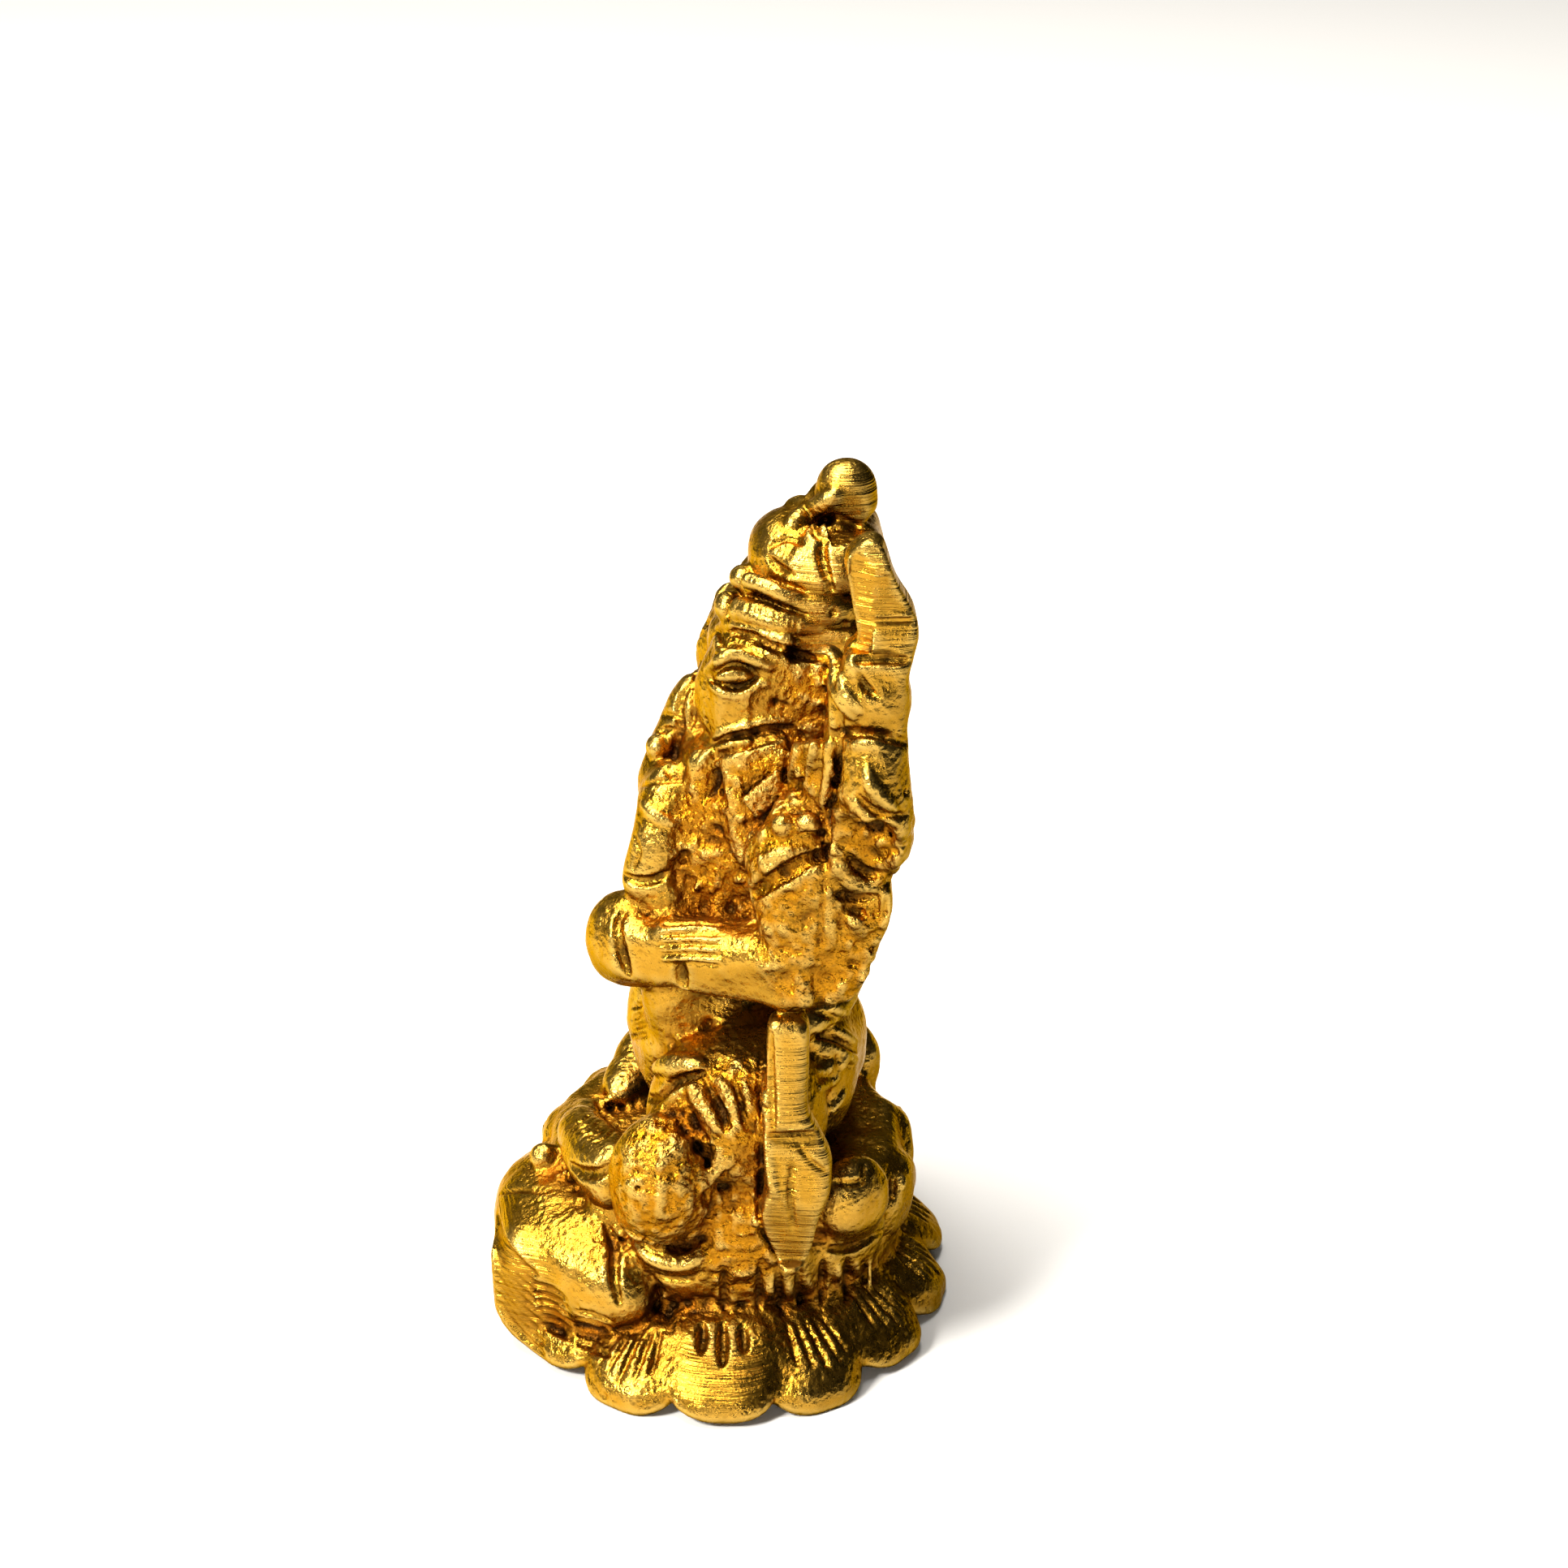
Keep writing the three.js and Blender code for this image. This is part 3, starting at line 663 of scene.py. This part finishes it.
def carve_left_hand():
    """Four fingers lie side by side on the forearm, and a deep groove parts palm from sweet."""
    for number in range(4):
        finger = [(-4.95, 2.2), (-3.85, 2.3), (-2.65, 2.35), (-1.65, 2.3)]
        ridge(1, "front_left_forearm", 11.4, shifted(finger, 0, -0.66 * number), 0.27)
    for number in range(5):
        gap = [(-5.05, 2.6), (-3.25, 2.7), (-1.55, 2.6)]
        groove(1, "front_left_forearm", 11.4, shifted(gap, 0, -0.66 * number), 0.17)
    line = [(-1.65, 3.1), (-2.05, 2.3), (-1.95, 1.1), (-1.65, -0.1), (-1.35, -1.1)]
    groove(1, "left_hand", 9.0, line, 0.45, 0.35)
    groove(1, "front_left_forearm", 11.5, [(-3.95, -0.2), (-3.95, -0.8), (-3.9, -1.4)], 0.5, 0.8)


def carve_shoulder(side):
    """The groove over the upper arm, two knobs of the shoulder ornament, and the shawl's folds."""
    name = "front_*_upper_arm"
    out = 12.0
    line = [(-2.7, -0.15), (-1.7, 0.65), (-0.5, 1.45), (0.6, 2.15), (1.7, 2.55)]
    groove(side, name, out, line, 0.62, 0.5)
    groove(side, name, out, [(-1.3, 5.35), (-0.3, 5.5), (0.7, 5.15), (1.3, 5.05)], 0.32)
    bump(side, name, out, (-0.9, 4.45), (0.6, 0.7, 0.7))
    bump(side, name, out, (0.6, 4.45), (0.6, 0.8, 0.8))
    groove(side, name, out, [(0.2, 3.95), (1.1, 3.85), (1.7, 4.15)], 0.26)
    name = "*_shawl"
    groove(side, name, 12.5, [(-1.2, 7.7), (-1.3, 5.5), (-1.2, 3.7)], 0.3)
    groove(side, name, 12.5, [(-1.4, 2.7), (-1.6, 0.5), (-1.7, -1.9)], 0.16)


def carve_rear_arm(side):
    """A cuff at the wrist, a padded bulge, and the cloth that curls under the elbow."""
    name = "rear_*_arm"
    out = 13.0
    groove(side, name, out, [(-1.55, 4.95), (-0.15, 4.75), (1.05, 4.55), (2.25, 4.25)], 0.38, 0.6)
    ridge(side, name, out, [(-1.15, 4.05), (-0.15, 4.15), (0.65, 4.05)], 0.34)
    ridge(side, name, out, [(-0.15, 2.45), (0.05, 1.55), (0.65, 0.75), (1.45, -0.05)], 0.5)
    groove(side, name, out, [(-0.65, 0.75), (0.05, -0.05), (1.05, -0.55), (2.25, -0.45)], 0.28)
    groove(side, name, out, [(-1.25, -3.05), (-0.85, -3.75), (-0.05, -4.35), (1.65, -4.55)], 0.42)
    ridge(side, name, out, [(-2.05, -2.85), (-1.65, -4.15), (-0.85, -4.95), (0.25, -5.35)], 0.55)
    groove(side, name, out, [(-1.95, -5.75), (-0.75, -6.05), (0.65, -5.95)], 0.36)
    bump(side, name, out, (-0.75, -7.55), (0.6, 0.5, 0.5))
    groove(side, name, out, [(-1.45, -6.55), (-0.55, -6.95), (-0.05, -7.25)], 0.3)
    for number in range(3):
        fold = [(0.65, -6.05), (0.55, -7.45)]
        groove(side, name, out, shifted(fold, 0.5 * number, 0), 0.2)


def carve_rear_hand(side):
    """A thumb, and the groove between the hand and what it holds."""
    name = "rear_*_hand"
    out = 13.0
    ridge(side, name, out, [(-2.05, 2.25), (-1.85, 0.95), (-1.05, -0.25)], 0.42)
    groove(side, name, out, [(-1.05, 2.05), (-0.65, 1.25), (0.05, 0.65)], 0.26)
    groove(side, name, out, [(-1.15, 2.95), (0.25, 3.15), (1.65, 2.95)], 0.42, 0.6)


def carve_lap(side):
    """The fold of cloth over the knee, and its pleats."""
    name = "*_thigh"
    out = 12.6
    line = [(-6.2, 3.05), (-5.8, 4.15), (-4.8, 4.85), (-3.5, 5.15), (-2.3, 5.15)]
    ridge(side, name, 12.4, line, 0.85, 0.6)
    line = [(-5.9, 2.65), (-5.0, 2.85), (-4.2, 3.75), (-3.2, 4.35), (-2.1, 4.75)]
    groove(side, name, 12.4, line, 0.4, 0.5)
    ridge(side, name, out, [(-2.7, 3.85), (-2.2, 2.95), (-1.6, 1.95), (-1.2, 1.25)], 0.5, 0.7)
    groove(side, name, out, [(-3.3, 3.45), (-3.0, 2.35), (-2.5, 1.15), (-1.8, 0.35)], 0.36)
    groove(side, name, out, [(-1.9, 4.45), (-1.4, 3.35), (-0.85, 2.25), (-0.6, 1.05)], 0.34)
    ridge(side, name, out, [(-1.0, 4.35), (-0.4, 3.35), (0, 2.25), (0.1, 1.25)], 0.36, 0.6)
    groove(side, name, out, [(-0.2, 4.35), (0.3, 3.05), (0.45, 1.65)], 0.26)
    ridge(side, name, out, [(0.4, 4.45), (0.8, 3.25), (0.9, 1.85)], 0.28)
    for along, up, size in ((-3.4, 2.25, 0.26), (-2.3, 3.15, 0.14), (-1.7, 2.15, 0.16)):
        pit(side, name, 13.0, (along, up), size)


def carve_knee(side):
    """A deep shadow line under the knee, and a lip of cloth below it."""
    name = "*_knee"
    out = 13.5
    under = [(-2.1, -3.25), (-1.3, -3.75), (-0.3, -4.25), (1.2, -4.55), (2.5, -4.05)]
    lip = [(-1.5, -4.75), (-0.8, -5.45), (0.4, -5.85), (1.7, -5.85), (2.5, -5.35)]
    groove(side, name, out, under, 0.6, 0.35)
    ridge(side, name, out, lip, 0.5, 0.3)
    groove(side, name, out, [(-0.7, -6.65), (0.4, -7.05), (1.8, -6.95), (2.6, -6.45)], 0.3)


def carve_cords(side):
    """Two thin cords run down in front of the sash and end in small leaves."""
    name = "*_sash"
    out = 13.0
    ridge(side, name, out, [(-2.5, 7.4), (-2.5, 5.2), (-2.4, 2.2), (-2.35, 0.2)], 0.18, 0.8)
    ridge(side, name, out, [(-2.0, 7.4), (-2.0, 5.2), (-1.9, 2.2), (-1.85, 0.2)], 0.28, 0.8)
    groove(side, name, out, [(-2.3, 7.4), (-2.3, 4.2), (-2.15, 0.6)], 0.2)
    groove(side, name, out, [(-1.6, 7.4), (-1.6, 4.2), (-1.45, 0.6)], 0.26)
    ridge(side, name, out, [(-1.8, 0.2), (-1.7, -1.8), (-1.4, -3.8)], 0.32, 0.7)
    groove(side, name, out, [(-2.3, -0.4), (-2.2, -3.2), (-2.4, -5.8)], 0.26)
    for leaf in ([(-1.5, -4.6), (-1.05, -5.7), (-0.6, -6.8)], [(-2.7, -6.6), (-2.2, -7.8), (-1.6, -9.0)]):
        ridge(side, name, out, leaf, 0.34)
        groove(side, name, out, shifted(leaf, 0.4, 0.3), 0.2)
    pit(side, name, out, (-2.0, 2.15), 0.22)


def carve_sash(side):
    """A bevel down its rear edge, a facet that faces the sky and one that faces the floor."""
    across, along, up = middle(side, "*_sash")
    facets = [
        ((2.3, 1.9, 5.0), (2.0, 1.6, 4.2), -7, 38),
        ((3.1, 0.2, 0.9), (2.0, 3.6, 1.6), -32, 6),
        ((3.4, 0.2, -5.4), (2.0, 3.6, 3.0), 13, -5),
    ]
    for (out, back, above), half, lean, turn in facets:
        place = (side * (abs(across) + out), along + back, up + above)
        cut(block(place, half, (0, side * lean, side * turn), 0.08), 0.1)
    groove(side, "*_sash", 15.0, [(0.2, 0.4), (0.9, -0.6), (1.9, -1.4)], 0.16)
    groove(side, "*_sash", 15.0, [(-0.3, -0.8), (-0.4, -3.0), (-0.2, -5.6)], 0.22)


def carve_belly():
    """Pleats round the belly's front."""
    for number in range(4):
        pleat = [(-7.45, -5.75), (-6.85, -5.4), (-6.35, -5.25)]
        groove(1, "torso", 5.0, shifted(pleat, 0.05 * number, 0.75 * number), 0.24)


def carve_back(side):
    """Rings round the waist, and curls of cloth between them and the seat."""
    name = "waist_belt"
    out = 9.0
    for drop in (0.0, 1.7, 3.0):
        ring = [(3.1, 2.4), (4.7, 1.8), (6.3, 0.8), (7.5, 0)]
        ridge(side, name, 8.0, shifted(ring, 0, -drop), 0.34)
        groove(side, name, 8.0, shifted(ring, 0, -drop - 0.7), 0.26)
    ridge(side, name, out, [(3.4, -1.1), (4.2, -1.0), (4.6, -1.6), (4.3, -2.3), (3.8, -2.2)], 0.3)
    ridge(side, name, out, [(3.5, -3.3), (4.4, -3.2), (5.1, -2.8)], 0.34)
    ridge(side, name, out, [(5.5, -3.9), (5.0, -4.7), (4.5, -5.4), (4.1, -6.2)], 0.34)
    bump(side, name, out, (5.2, -1.8), (0.5, 0.5, 0.5))


def carve_seat(side):
    """Blocky upright petals at the hip, and a row of small pegs below them."""
    name = "lotus_seat"
    out = 13.5
    pit(side, name, 9.0, (10.85, 6.35), 0.6)
    ridge(side, name, 9.0, [(11.05, 7.55), (11.55, 6.75), (11.75, 5.85)], 0.35)
    ridge(side, name, 10.0, [(10.85, 5.55), (11.45, 4.75), (11.75, 3.75), (11.65, 2.75)], 0.5)
    groove(side, name, 10.0, [(10.45, 5.15), (10.95, 4.15), (11.05, 2.95), (10.95, 1.95)], 0.3)
    groove(side, name, 12.5, [(7.05, 4.85), (7.95, 4.85), (8.85, 4.95), (8.9, 5.95)], 0.24)
    groove(side, name, 13.0, [(6.85, 0.25), (8.25, 0.15), (9.75, 0.75), (11.25, 1.35)], 0.45)
    low_peg = [(-0.05, -1.85), (-0.05, -2.85)]
    for step in (3.0, 4.2, 5.5):
        ridge(side, name, out, shifted(low_peg, step, 0), 0.3)
    tall_peg = [(-0.05, -0.85), (-0.05, -2.85)]
    for step in (7.4, 8.6, 9.5):
        ridge(side, name, out, shifted(tall_peg, step, 0), 0.3)
    gap = [(-0.05, -0.45), (-0.05, -3.65)]
    for step in (0.1, 2.3, 3.6, 4.9, 6.4, 8.0):
        groove(side, name, out, shifted(gap, step, 0), 0.3)


PETALS = range(1, 15)
FILED_PETAL = 1
HIDDEN_PETALS = (12, 13)


def carve_leaf(number, count, radius, share, spread=0.7):
    """Veins that fan over one petal, from share[0] to share[1] of its length."""
    low, high = node_box(f"lower_petal_{number:02d}")
    centre = (low + high) / 2
    half_across, half_along = 15, 12  # the oval ring in which the petals stand
    heading = math.atan2(centre[1] / half_along, centre[0] / half_across)
    out = np.array([math.cos(heading), math.sin(heading), 0])
    across = np.array([-out[1], out[0], 0])
    way = out * 0.35 + np.array([0, 0, 0.94])
    for fan in np.linspace(-1, 1, count):
        lengths = np.linspace(share[0], share[1] - 0.25 * abs(fan), 4)
        points = [centre + out * 4 * s + across * fan * (1.3 + spread * (s + 0.5)) for s in lengths]
        stroke(cut, points, way, radius, 0.25, 0.12)


def carve_petals():
    """The petal that faces the figure's left has three deep marks; two petals lie under the mouse."""
    for number in PETALS:
        if number == FILED_PETAL:
            carve_leaf(number, 3, 0.38, (-0.6, 0.15), 0.2)
        elif number not in HIDDEN_PETALS:
            carve_leaf(number, 5, 0.2, (-0.5, 0.5))


def carve_mouse():
    """Curved file marks sweep down the flank, with two short rows of them beyond."""
    name = "mouse_body"
    for number in range(9):
        sweep = [(-5.15, 2.95), (-4.35, 1.35), (-3.15, 0.05), (-2.25, -0.55)]
        groove(1, name, 8.5, shifted(sweep, 0.04 * number, -0.75 * number), 0.42, stray=7)
    for number in range(6):
        row = [(-2.35, -0.65), (-1.35, -0.95), (-0.35, -1.45)]
        groove(1, name, 10.0, shifted(row, 0.05 * number, -0.62 * number), 0.36, stray=5)
    for number in range(5):
        row = [(0.45, -2.15), (1.55, -2.35), (2.55, -2.75)]
        groove(1, name, 10.5, shifted(row, 0, -0.6 * number), 0.34, stray=4)
    bump(1, name, 4.0, (-2.15, 4.95), (1.0, 1.0, 1.0))
    groove(1, name, 4.0, [(-3.05, 5.35), (-3.15, 4.65), (-2.85, 4.05)], 0.24)
    groove(1, name, 8.0, [(-4.95, 4.25), (-3.55, 4.65), (-1.75, 4.65)], 0.22)
    groove(1, name, 10.0, [(2.25, 3.85), (2.85, 2.25), (2.95, 0.25), (3.25, -1.55)], 0.4)


def carve_foot():
    """Toes, and the shadow below them."""
    name = "left_shin"
    for number in range(6):
        toe = [(-2.45, 1.35), (-1.55, 1.8), (-0.55, 2.55)]
        groove(1, name, 6.0, shifted(toe, 0.4 * number, -0.12 * number), 0.17)
    groove(1, name, 6.0, [(-2.35, -0.75), (-1.35, -1.35), (-0.15, -1.25), (0.55, -0.75)], 0.45)


ON_BOTH_SIDES = [
    carve_eye,
    carve_forehead,
    carve_cheek,
    carve_beads,
    carve_ear,
    carve_bands,
    carve_ropes,
    carve_crown,
    carve_shoulder,
    carve_rear_arm,
    carve_rear_hand,
    carve_lap,
    carve_knee,
    carve_cords,
    carve_sash,
    carve_back,
    carve_seat,
]
for side in (1, -1):
    for carve in ON_BOTH_SIDES:
        carve(side)
carve_trunk()
carve_left_hand()
carve_belly()
carve_petals()
carve_mouse()
carve_foot()

# --- Division into pieces ---


def piece_mesh(number, name):
    """A closed skin for one node: the statue's own surface, which dives below its neighbours."""
    part, distance = shapes[name]
    others = np.where(owner[part] == number, second[part], nearest[part])
    border = (distance - others) / 2
    solid = np.maximum(field[part] + SINK * np.maximum(border, 0), border - OVERLAP)
    solid = np.pad(solid, 1, constant_values=BAND)
    grid = vdb.FloatGrid(BAND)
    grid.copyFromArray(np.ascontiguousarray(solid.astype(np.float32)))
    points, quads = grid.convertToQuads()
    start = np.array([s.start for s in part]) + first_cell - 1
    return (points + start) * VOXEL, quads


# --- Brass ---


class Nodes:
    """Adds shader nodes to a material or a world, and links them in one call."""

    def __init__(self, material):
        self.tree = material.node_tree

    def add(self, kind, inputs=None, **settings):
        node = self.tree.nodes.new(f"ShaderNode{kind}")
        for key, value in settings.items():
            setattr(node, key, value)
        for key, value in (inputs or {}).items():
            if isinstance(value, bpy.types.NodeSocket):
                self.tree.links.new(value, node.inputs[key])
            else:
                node.inputs[key].default_value = value
        return node

    def math(self, operation, a, b=0.0):
        return self.add("Math", {0: a, 1: b}, operation=operation).outputs[0]

    def span(self, value, low, high, to_low=0.0, to_high=1.0):
        inputs = {"Value": value, "From Min": low, "From Max": high, "To Min": to_low, "To Max": to_high}
        return self.add("MapRange", inputs).outputs[0]

    def noise(self, place, scale, detail):
        inputs = {"Vector": place, "Scale": scale, "Detail": detail, "Roughness": 0.6}
        return self.add("TexNoise", inputs).outputs["Fac"]

    def blend(self, share, a, b):
        node = self.add("Mix", {0: share}, data_type="RGBA")
        for socket, value in ((node.inputs[6], a), (node.inputs[7], b)):
            if isinstance(value, bpy.types.NodeSocket):
                self.tree.links.new(value, socket)
            else:
                socket.default_value = (*value, 1)
        return node.outputs[2]


# Scales of the brass's noises, in features per metre.
PIT_SCALE = 2100
FINE_SCALE = 5200
GRAIN_SCALE = 1700
CLOUD_SCALE = 260
DOT_SCALE = 2600
FILE_SCALES = (90, 90, 3000)  # long across and along, fine upwards

# Linear colours of the brass, from clean metal to old stain, and a dark bronze that is painted shade.
GOLD = (0.42, 0.215, 0.02)
ORANGE = (0.42, 0.175, 0.007)
PALE_GOLD = (0.56, 0.36, 0.08)
AMBER = (0.24, 0.075, 0.003)
# The next dark bronze is painted shade, laid where the lamps reach least.
PATINA = (0.010, 0.006, 0.003)
SHADE_BRONZE = (0.05, 0.025, 0.004)
EDGE_TINT = (0.85, 0.62, 0.30)


def casting_height(n, place, grain, filed, rough, hollow):
    """The fine relief: pits and grain where the casting is raw, fine parallel lines where it is filed."""
    pits = n.span(n.add("TexVoronoi", {"Vector": place, "Scale": PIT_SCALE}).outputs["Distance"], 0.0, 0.6)
    fine = n.noise(place, FINE_SCALE, 2)
    raw = n.math("ADD", n.math("ADD", pits, n.math("MULTIPLY", grain, 1.4)), fine)
    raw = n.math("MULTIPLY", raw, n.span(n.math("SUBTRACT", rough, hollow), -0.1, 0.6, 0.6, 1.3))
    stretch = {"Vector": place, "Rotation": (0.06, 0, 0.3), "Scale": FILE_SCALES}
    lines = n.add("Mapping", stretch).outputs[0]
    files = n.noise(lines, 1, 3)
    files = n.math("ADD", n.math("MULTIPLY", files, 3.5), n.math("MULTIPLY", fine, 0.4))
    mixed = n.add("Mix", {0: filed}, data_type="FLOAT")
    n.tree.links.new(raw, mixed.inputs[2])
    n.tree.links.new(files, mixed.inputs[3])
    return mixed.outputs[0]


def carved_tone(n, grain, cloud, rough, groove, in_hollow):
    """Gold on plain skin, orange where it is raw, amber in hollows, pale on edges, dark in grooves."""
    in_groove = n.span(n.math("ADD", groove, n.span(grain, 0.3, 0.7, -0.03, 0.03)), -0.08, -0.18)
    on_edge = n.span(groove, 0.02, 0.11)
    in_rough = n.span(n.math("ADD", rough, n.span(cloud, 0.35, 0.65, -0.4, 0.4)), 0.3, 1.0)
    tone = n.blend(in_rough, GOLD, ORANGE)
    tone = n.blend(in_hollow, tone, AMBER)
    tone = n.blend(n.math("MULTIPLY", on_edge, 0.7), tone, PALE_GOLD)
    return n.blend(n.math("MULTIPLY", in_groove, 0.9), tone, PATINA)


def dotted_and_shaded_tone(n, tone, place, rough, shade_hollow):
    """Dark dots in the raw metal, and painted shade in dark bronze: in wide hollows, on faces that look
    down and on faces that look back.
    """
    dots = n.span(n.noise(place, DOT_SCALE, 1), 0.64, 0.72)
    tone = n.blend(n.math("MULTIPLY", dots, n.span(rough, 0.0, 1.0, 0.1, 0.6)), tone, PATINA)
    # Painted shade: faces that look down or towards the back, and wide hollows, turn dark bronze.
    facing = n.add("SeparateXYZ", {"Vector": n.add("NewGeometry").outputs["Normal"]})
    under = n.span(facing.outputs["Z"], 0.1, -0.55, 0.0, 0.8)
    behind = n.span(facing.outputs["Y"], 0.2, 0.95, 0.0, 0.65)
    painted_shade = n.math("ADD", n.span(shade_hollow, -0.25, -0.9, 0.0, 0.85), n.math("MAXIMUM", under, behind))
    return n.blend(n.math("MINIMUM", painted_shade, 0.85), tone, SHADE_BRONZE)


def brass(name):
    """One cast brass, whose tone, roughness and relief follow the carved shape."""
    material = bpy.data.materials.new(name)
    material.use_nodes = True
    material.node_tree.nodes.clear()
    n = Nodes(material)
    place = n.add("TexCoord").outputs["Object"]
    hollow, groove, shade_hollow, filed, rough = (
        n.add("Attribute", attribute_name=label).outputs["Fac"]
        for label in ("hollow", "groove", "shade_hollow", "filed", "rough")
    )
    grain = n.noise(place, GRAIN_SCALE, 3)
    cloud = n.noise(place, CLOUD_SCALE, 4)
    in_hollow = n.span(n.math("ADD", hollow, n.span(cloud, 0.3, 0.7, -0.1, 0.1)), 0.02, -0.32)
    tone = carved_tone(n, grain, cloud, rough, groove, in_hollow)
    # Dark dots, and painted shade in dark bronze on faces that look down or back and in wide hollows.
    tone = dotted_and_shaded_tone(n, tone, place, rough, shade_hollow)
    height = casting_height(n, place, grain, filed, rough, hollow)
    relief = n.add("Bump", {"Height": height, "Strength": 0.8, "Distance": 0.0001}).outputs[0]
    dull = n.math("ADD", n.span(grain, 0.3, 0.7, 0.22, 0.34), n.math("MULTIPLY", in_hollow, 0.15))
    inputs = {"Base Color": tone, "Roughness": dull, "Normal": relief, "Metallic": 1.0}
    shader = n.add("BsdfPrincipled", inputs)
    shader.inputs["Specular Tint"].default_value = (*EDGE_TINT, 1)
    n.add("OutputMaterial", {"Surface": shader.outputs[0]})
    return material


# --- Stage, light and camera ---


def plain(name, colour, roughness):
    """A material with one colour and one roughness."""
    material = bpy.data.materials.new(name)
    material.use_nodes = True
    shader = material.node_tree.nodes["Principled BSDF"]
    shader.inputs["Base Color"].default_value = (*colour, 1)
    shader.inputs["Roughness"].default_value = roughness
    return material


def make_floor():
    """A pale plane 3 m wide."""
    bpy.ops.mesh.primitive_plane_add(size=3)
    floor = bpy.context.object
    floor.name = "floor"
    floor.data.materials.append(plain("pale_floor", (0.88, 0.88, 0.87), 0.7))


WARM_WHITE = (1, 0.96, 0.9)


def softbox(name, position, size, power):
    """A round area light that points at the statue. Its position and size are in metres."""
    light = bpy.data.lights.new(name, "AREA")
    light.shape = "DISK"
    light.size = size
    light.energy = power
    light.color = WARM_WHITE
    lamp = bpy.data.objects.new(name, light)
    lamp.location = position
    target = Vector((0, 0, 0.03))
    lamp.rotation_euler = (target - lamp.location).to_track_quat("-Z", "Y").to_euler()
    scene.collection.objects.link(lamp)


def make_lights():
    """Three lamps, and a sky that is brighter in front of the figure than behind it."""
    softbox("key", (0.28, -0.36, 0.42), 0.16, 5.8)
    softbox("front_fill", (0.5, 0.02, 0.22), 0.09, 0.5)
    softbox("top", (-0.08, -0.12, 0.6), 0.42, 6.2)
    world = bpy.data.worlds.new("studio")
    world.use_nodes = True
    n = Nodes(world)
    along = n.add("SeparateXYZ", {"Vector": n.add("TexCoord").outputs["Generated"]}).outputs["Y"]
    background = world.node_tree.nodes["Background"]
    background.inputs["Color"].default_value = (1, 0.98, 0.95, 1)
    world.node_tree.links.new(n.span(along, -0.7, 0.8, 0.14, 0.015), background.inputs["Strength"])
    scene.world = world
    scene.view_settings.view_transform = "Standard"


def make_camera():
    """Looks at the figure's left side from above, as the photograph does."""
    tilt = math.radians(ELEVATION)
    aim = Vector((0, AIM_ALONG, AIM_UP)) * MM
    back = Vector((math.cos(tilt), 0, math.sin(tilt)))
    data = bpy.data.cameras.new("camera")
    data.lens = LENS
    data.sensor_width = 36
    data.clip_start = 0.01
    camera = bpy.data.objects.new("camera", data)
    camera.location = aim + back * DISTANCE * MM
    camera.rotation_euler = (-back).to_track_quat("-Z", "Y").to_euler()
    scene.collection.objects.link(camera)
    scene.camera = camera


make_camera()
make_lights()
make_floor()

# --- Pieces ---

# What the brass follows: hollows of three widths (negative inside them), and the two kinds of zone.
maps = {
    "hollow": blurred(field, 1.1) - field,
    "groove": blurred(field, 0.4) - field,
    # The widest hollow is used only to lay on painted shade.
    "shade_hollow": blurred(field, 2.4) - field,
    "filed": filed,
    "rough": rough,
}


def make_piece(number, name, material):
    """One CAD node as a closed brass mesh, with the maps' values at each of its points."""
    points, quads = piece_mesh(number, name)
    mesh = bpy.data.meshes.new(f"brass_{name}")
    mesh.from_pydata((points * MM).tolist(), [], quads[:, ::-1].tolist())
    mesh.shade_smooth()
    mesh.materials.append(material)
    for label, values in maps.items():
        attribute = mesh.attributes.new(label, "FLOAT", "POINT")
        attribute.data.foreach_set("value", sampled(values, points).astype(np.float32))
    piece = bpy.data.objects.new(f"brass_{name}", mesh)
    scene.collection.objects.link(piece)
    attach(piece, "root")
    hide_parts(name)


cast = brass("cast_brass")
for number, name in enumerate(names):
    make_piece(number, name, cast)
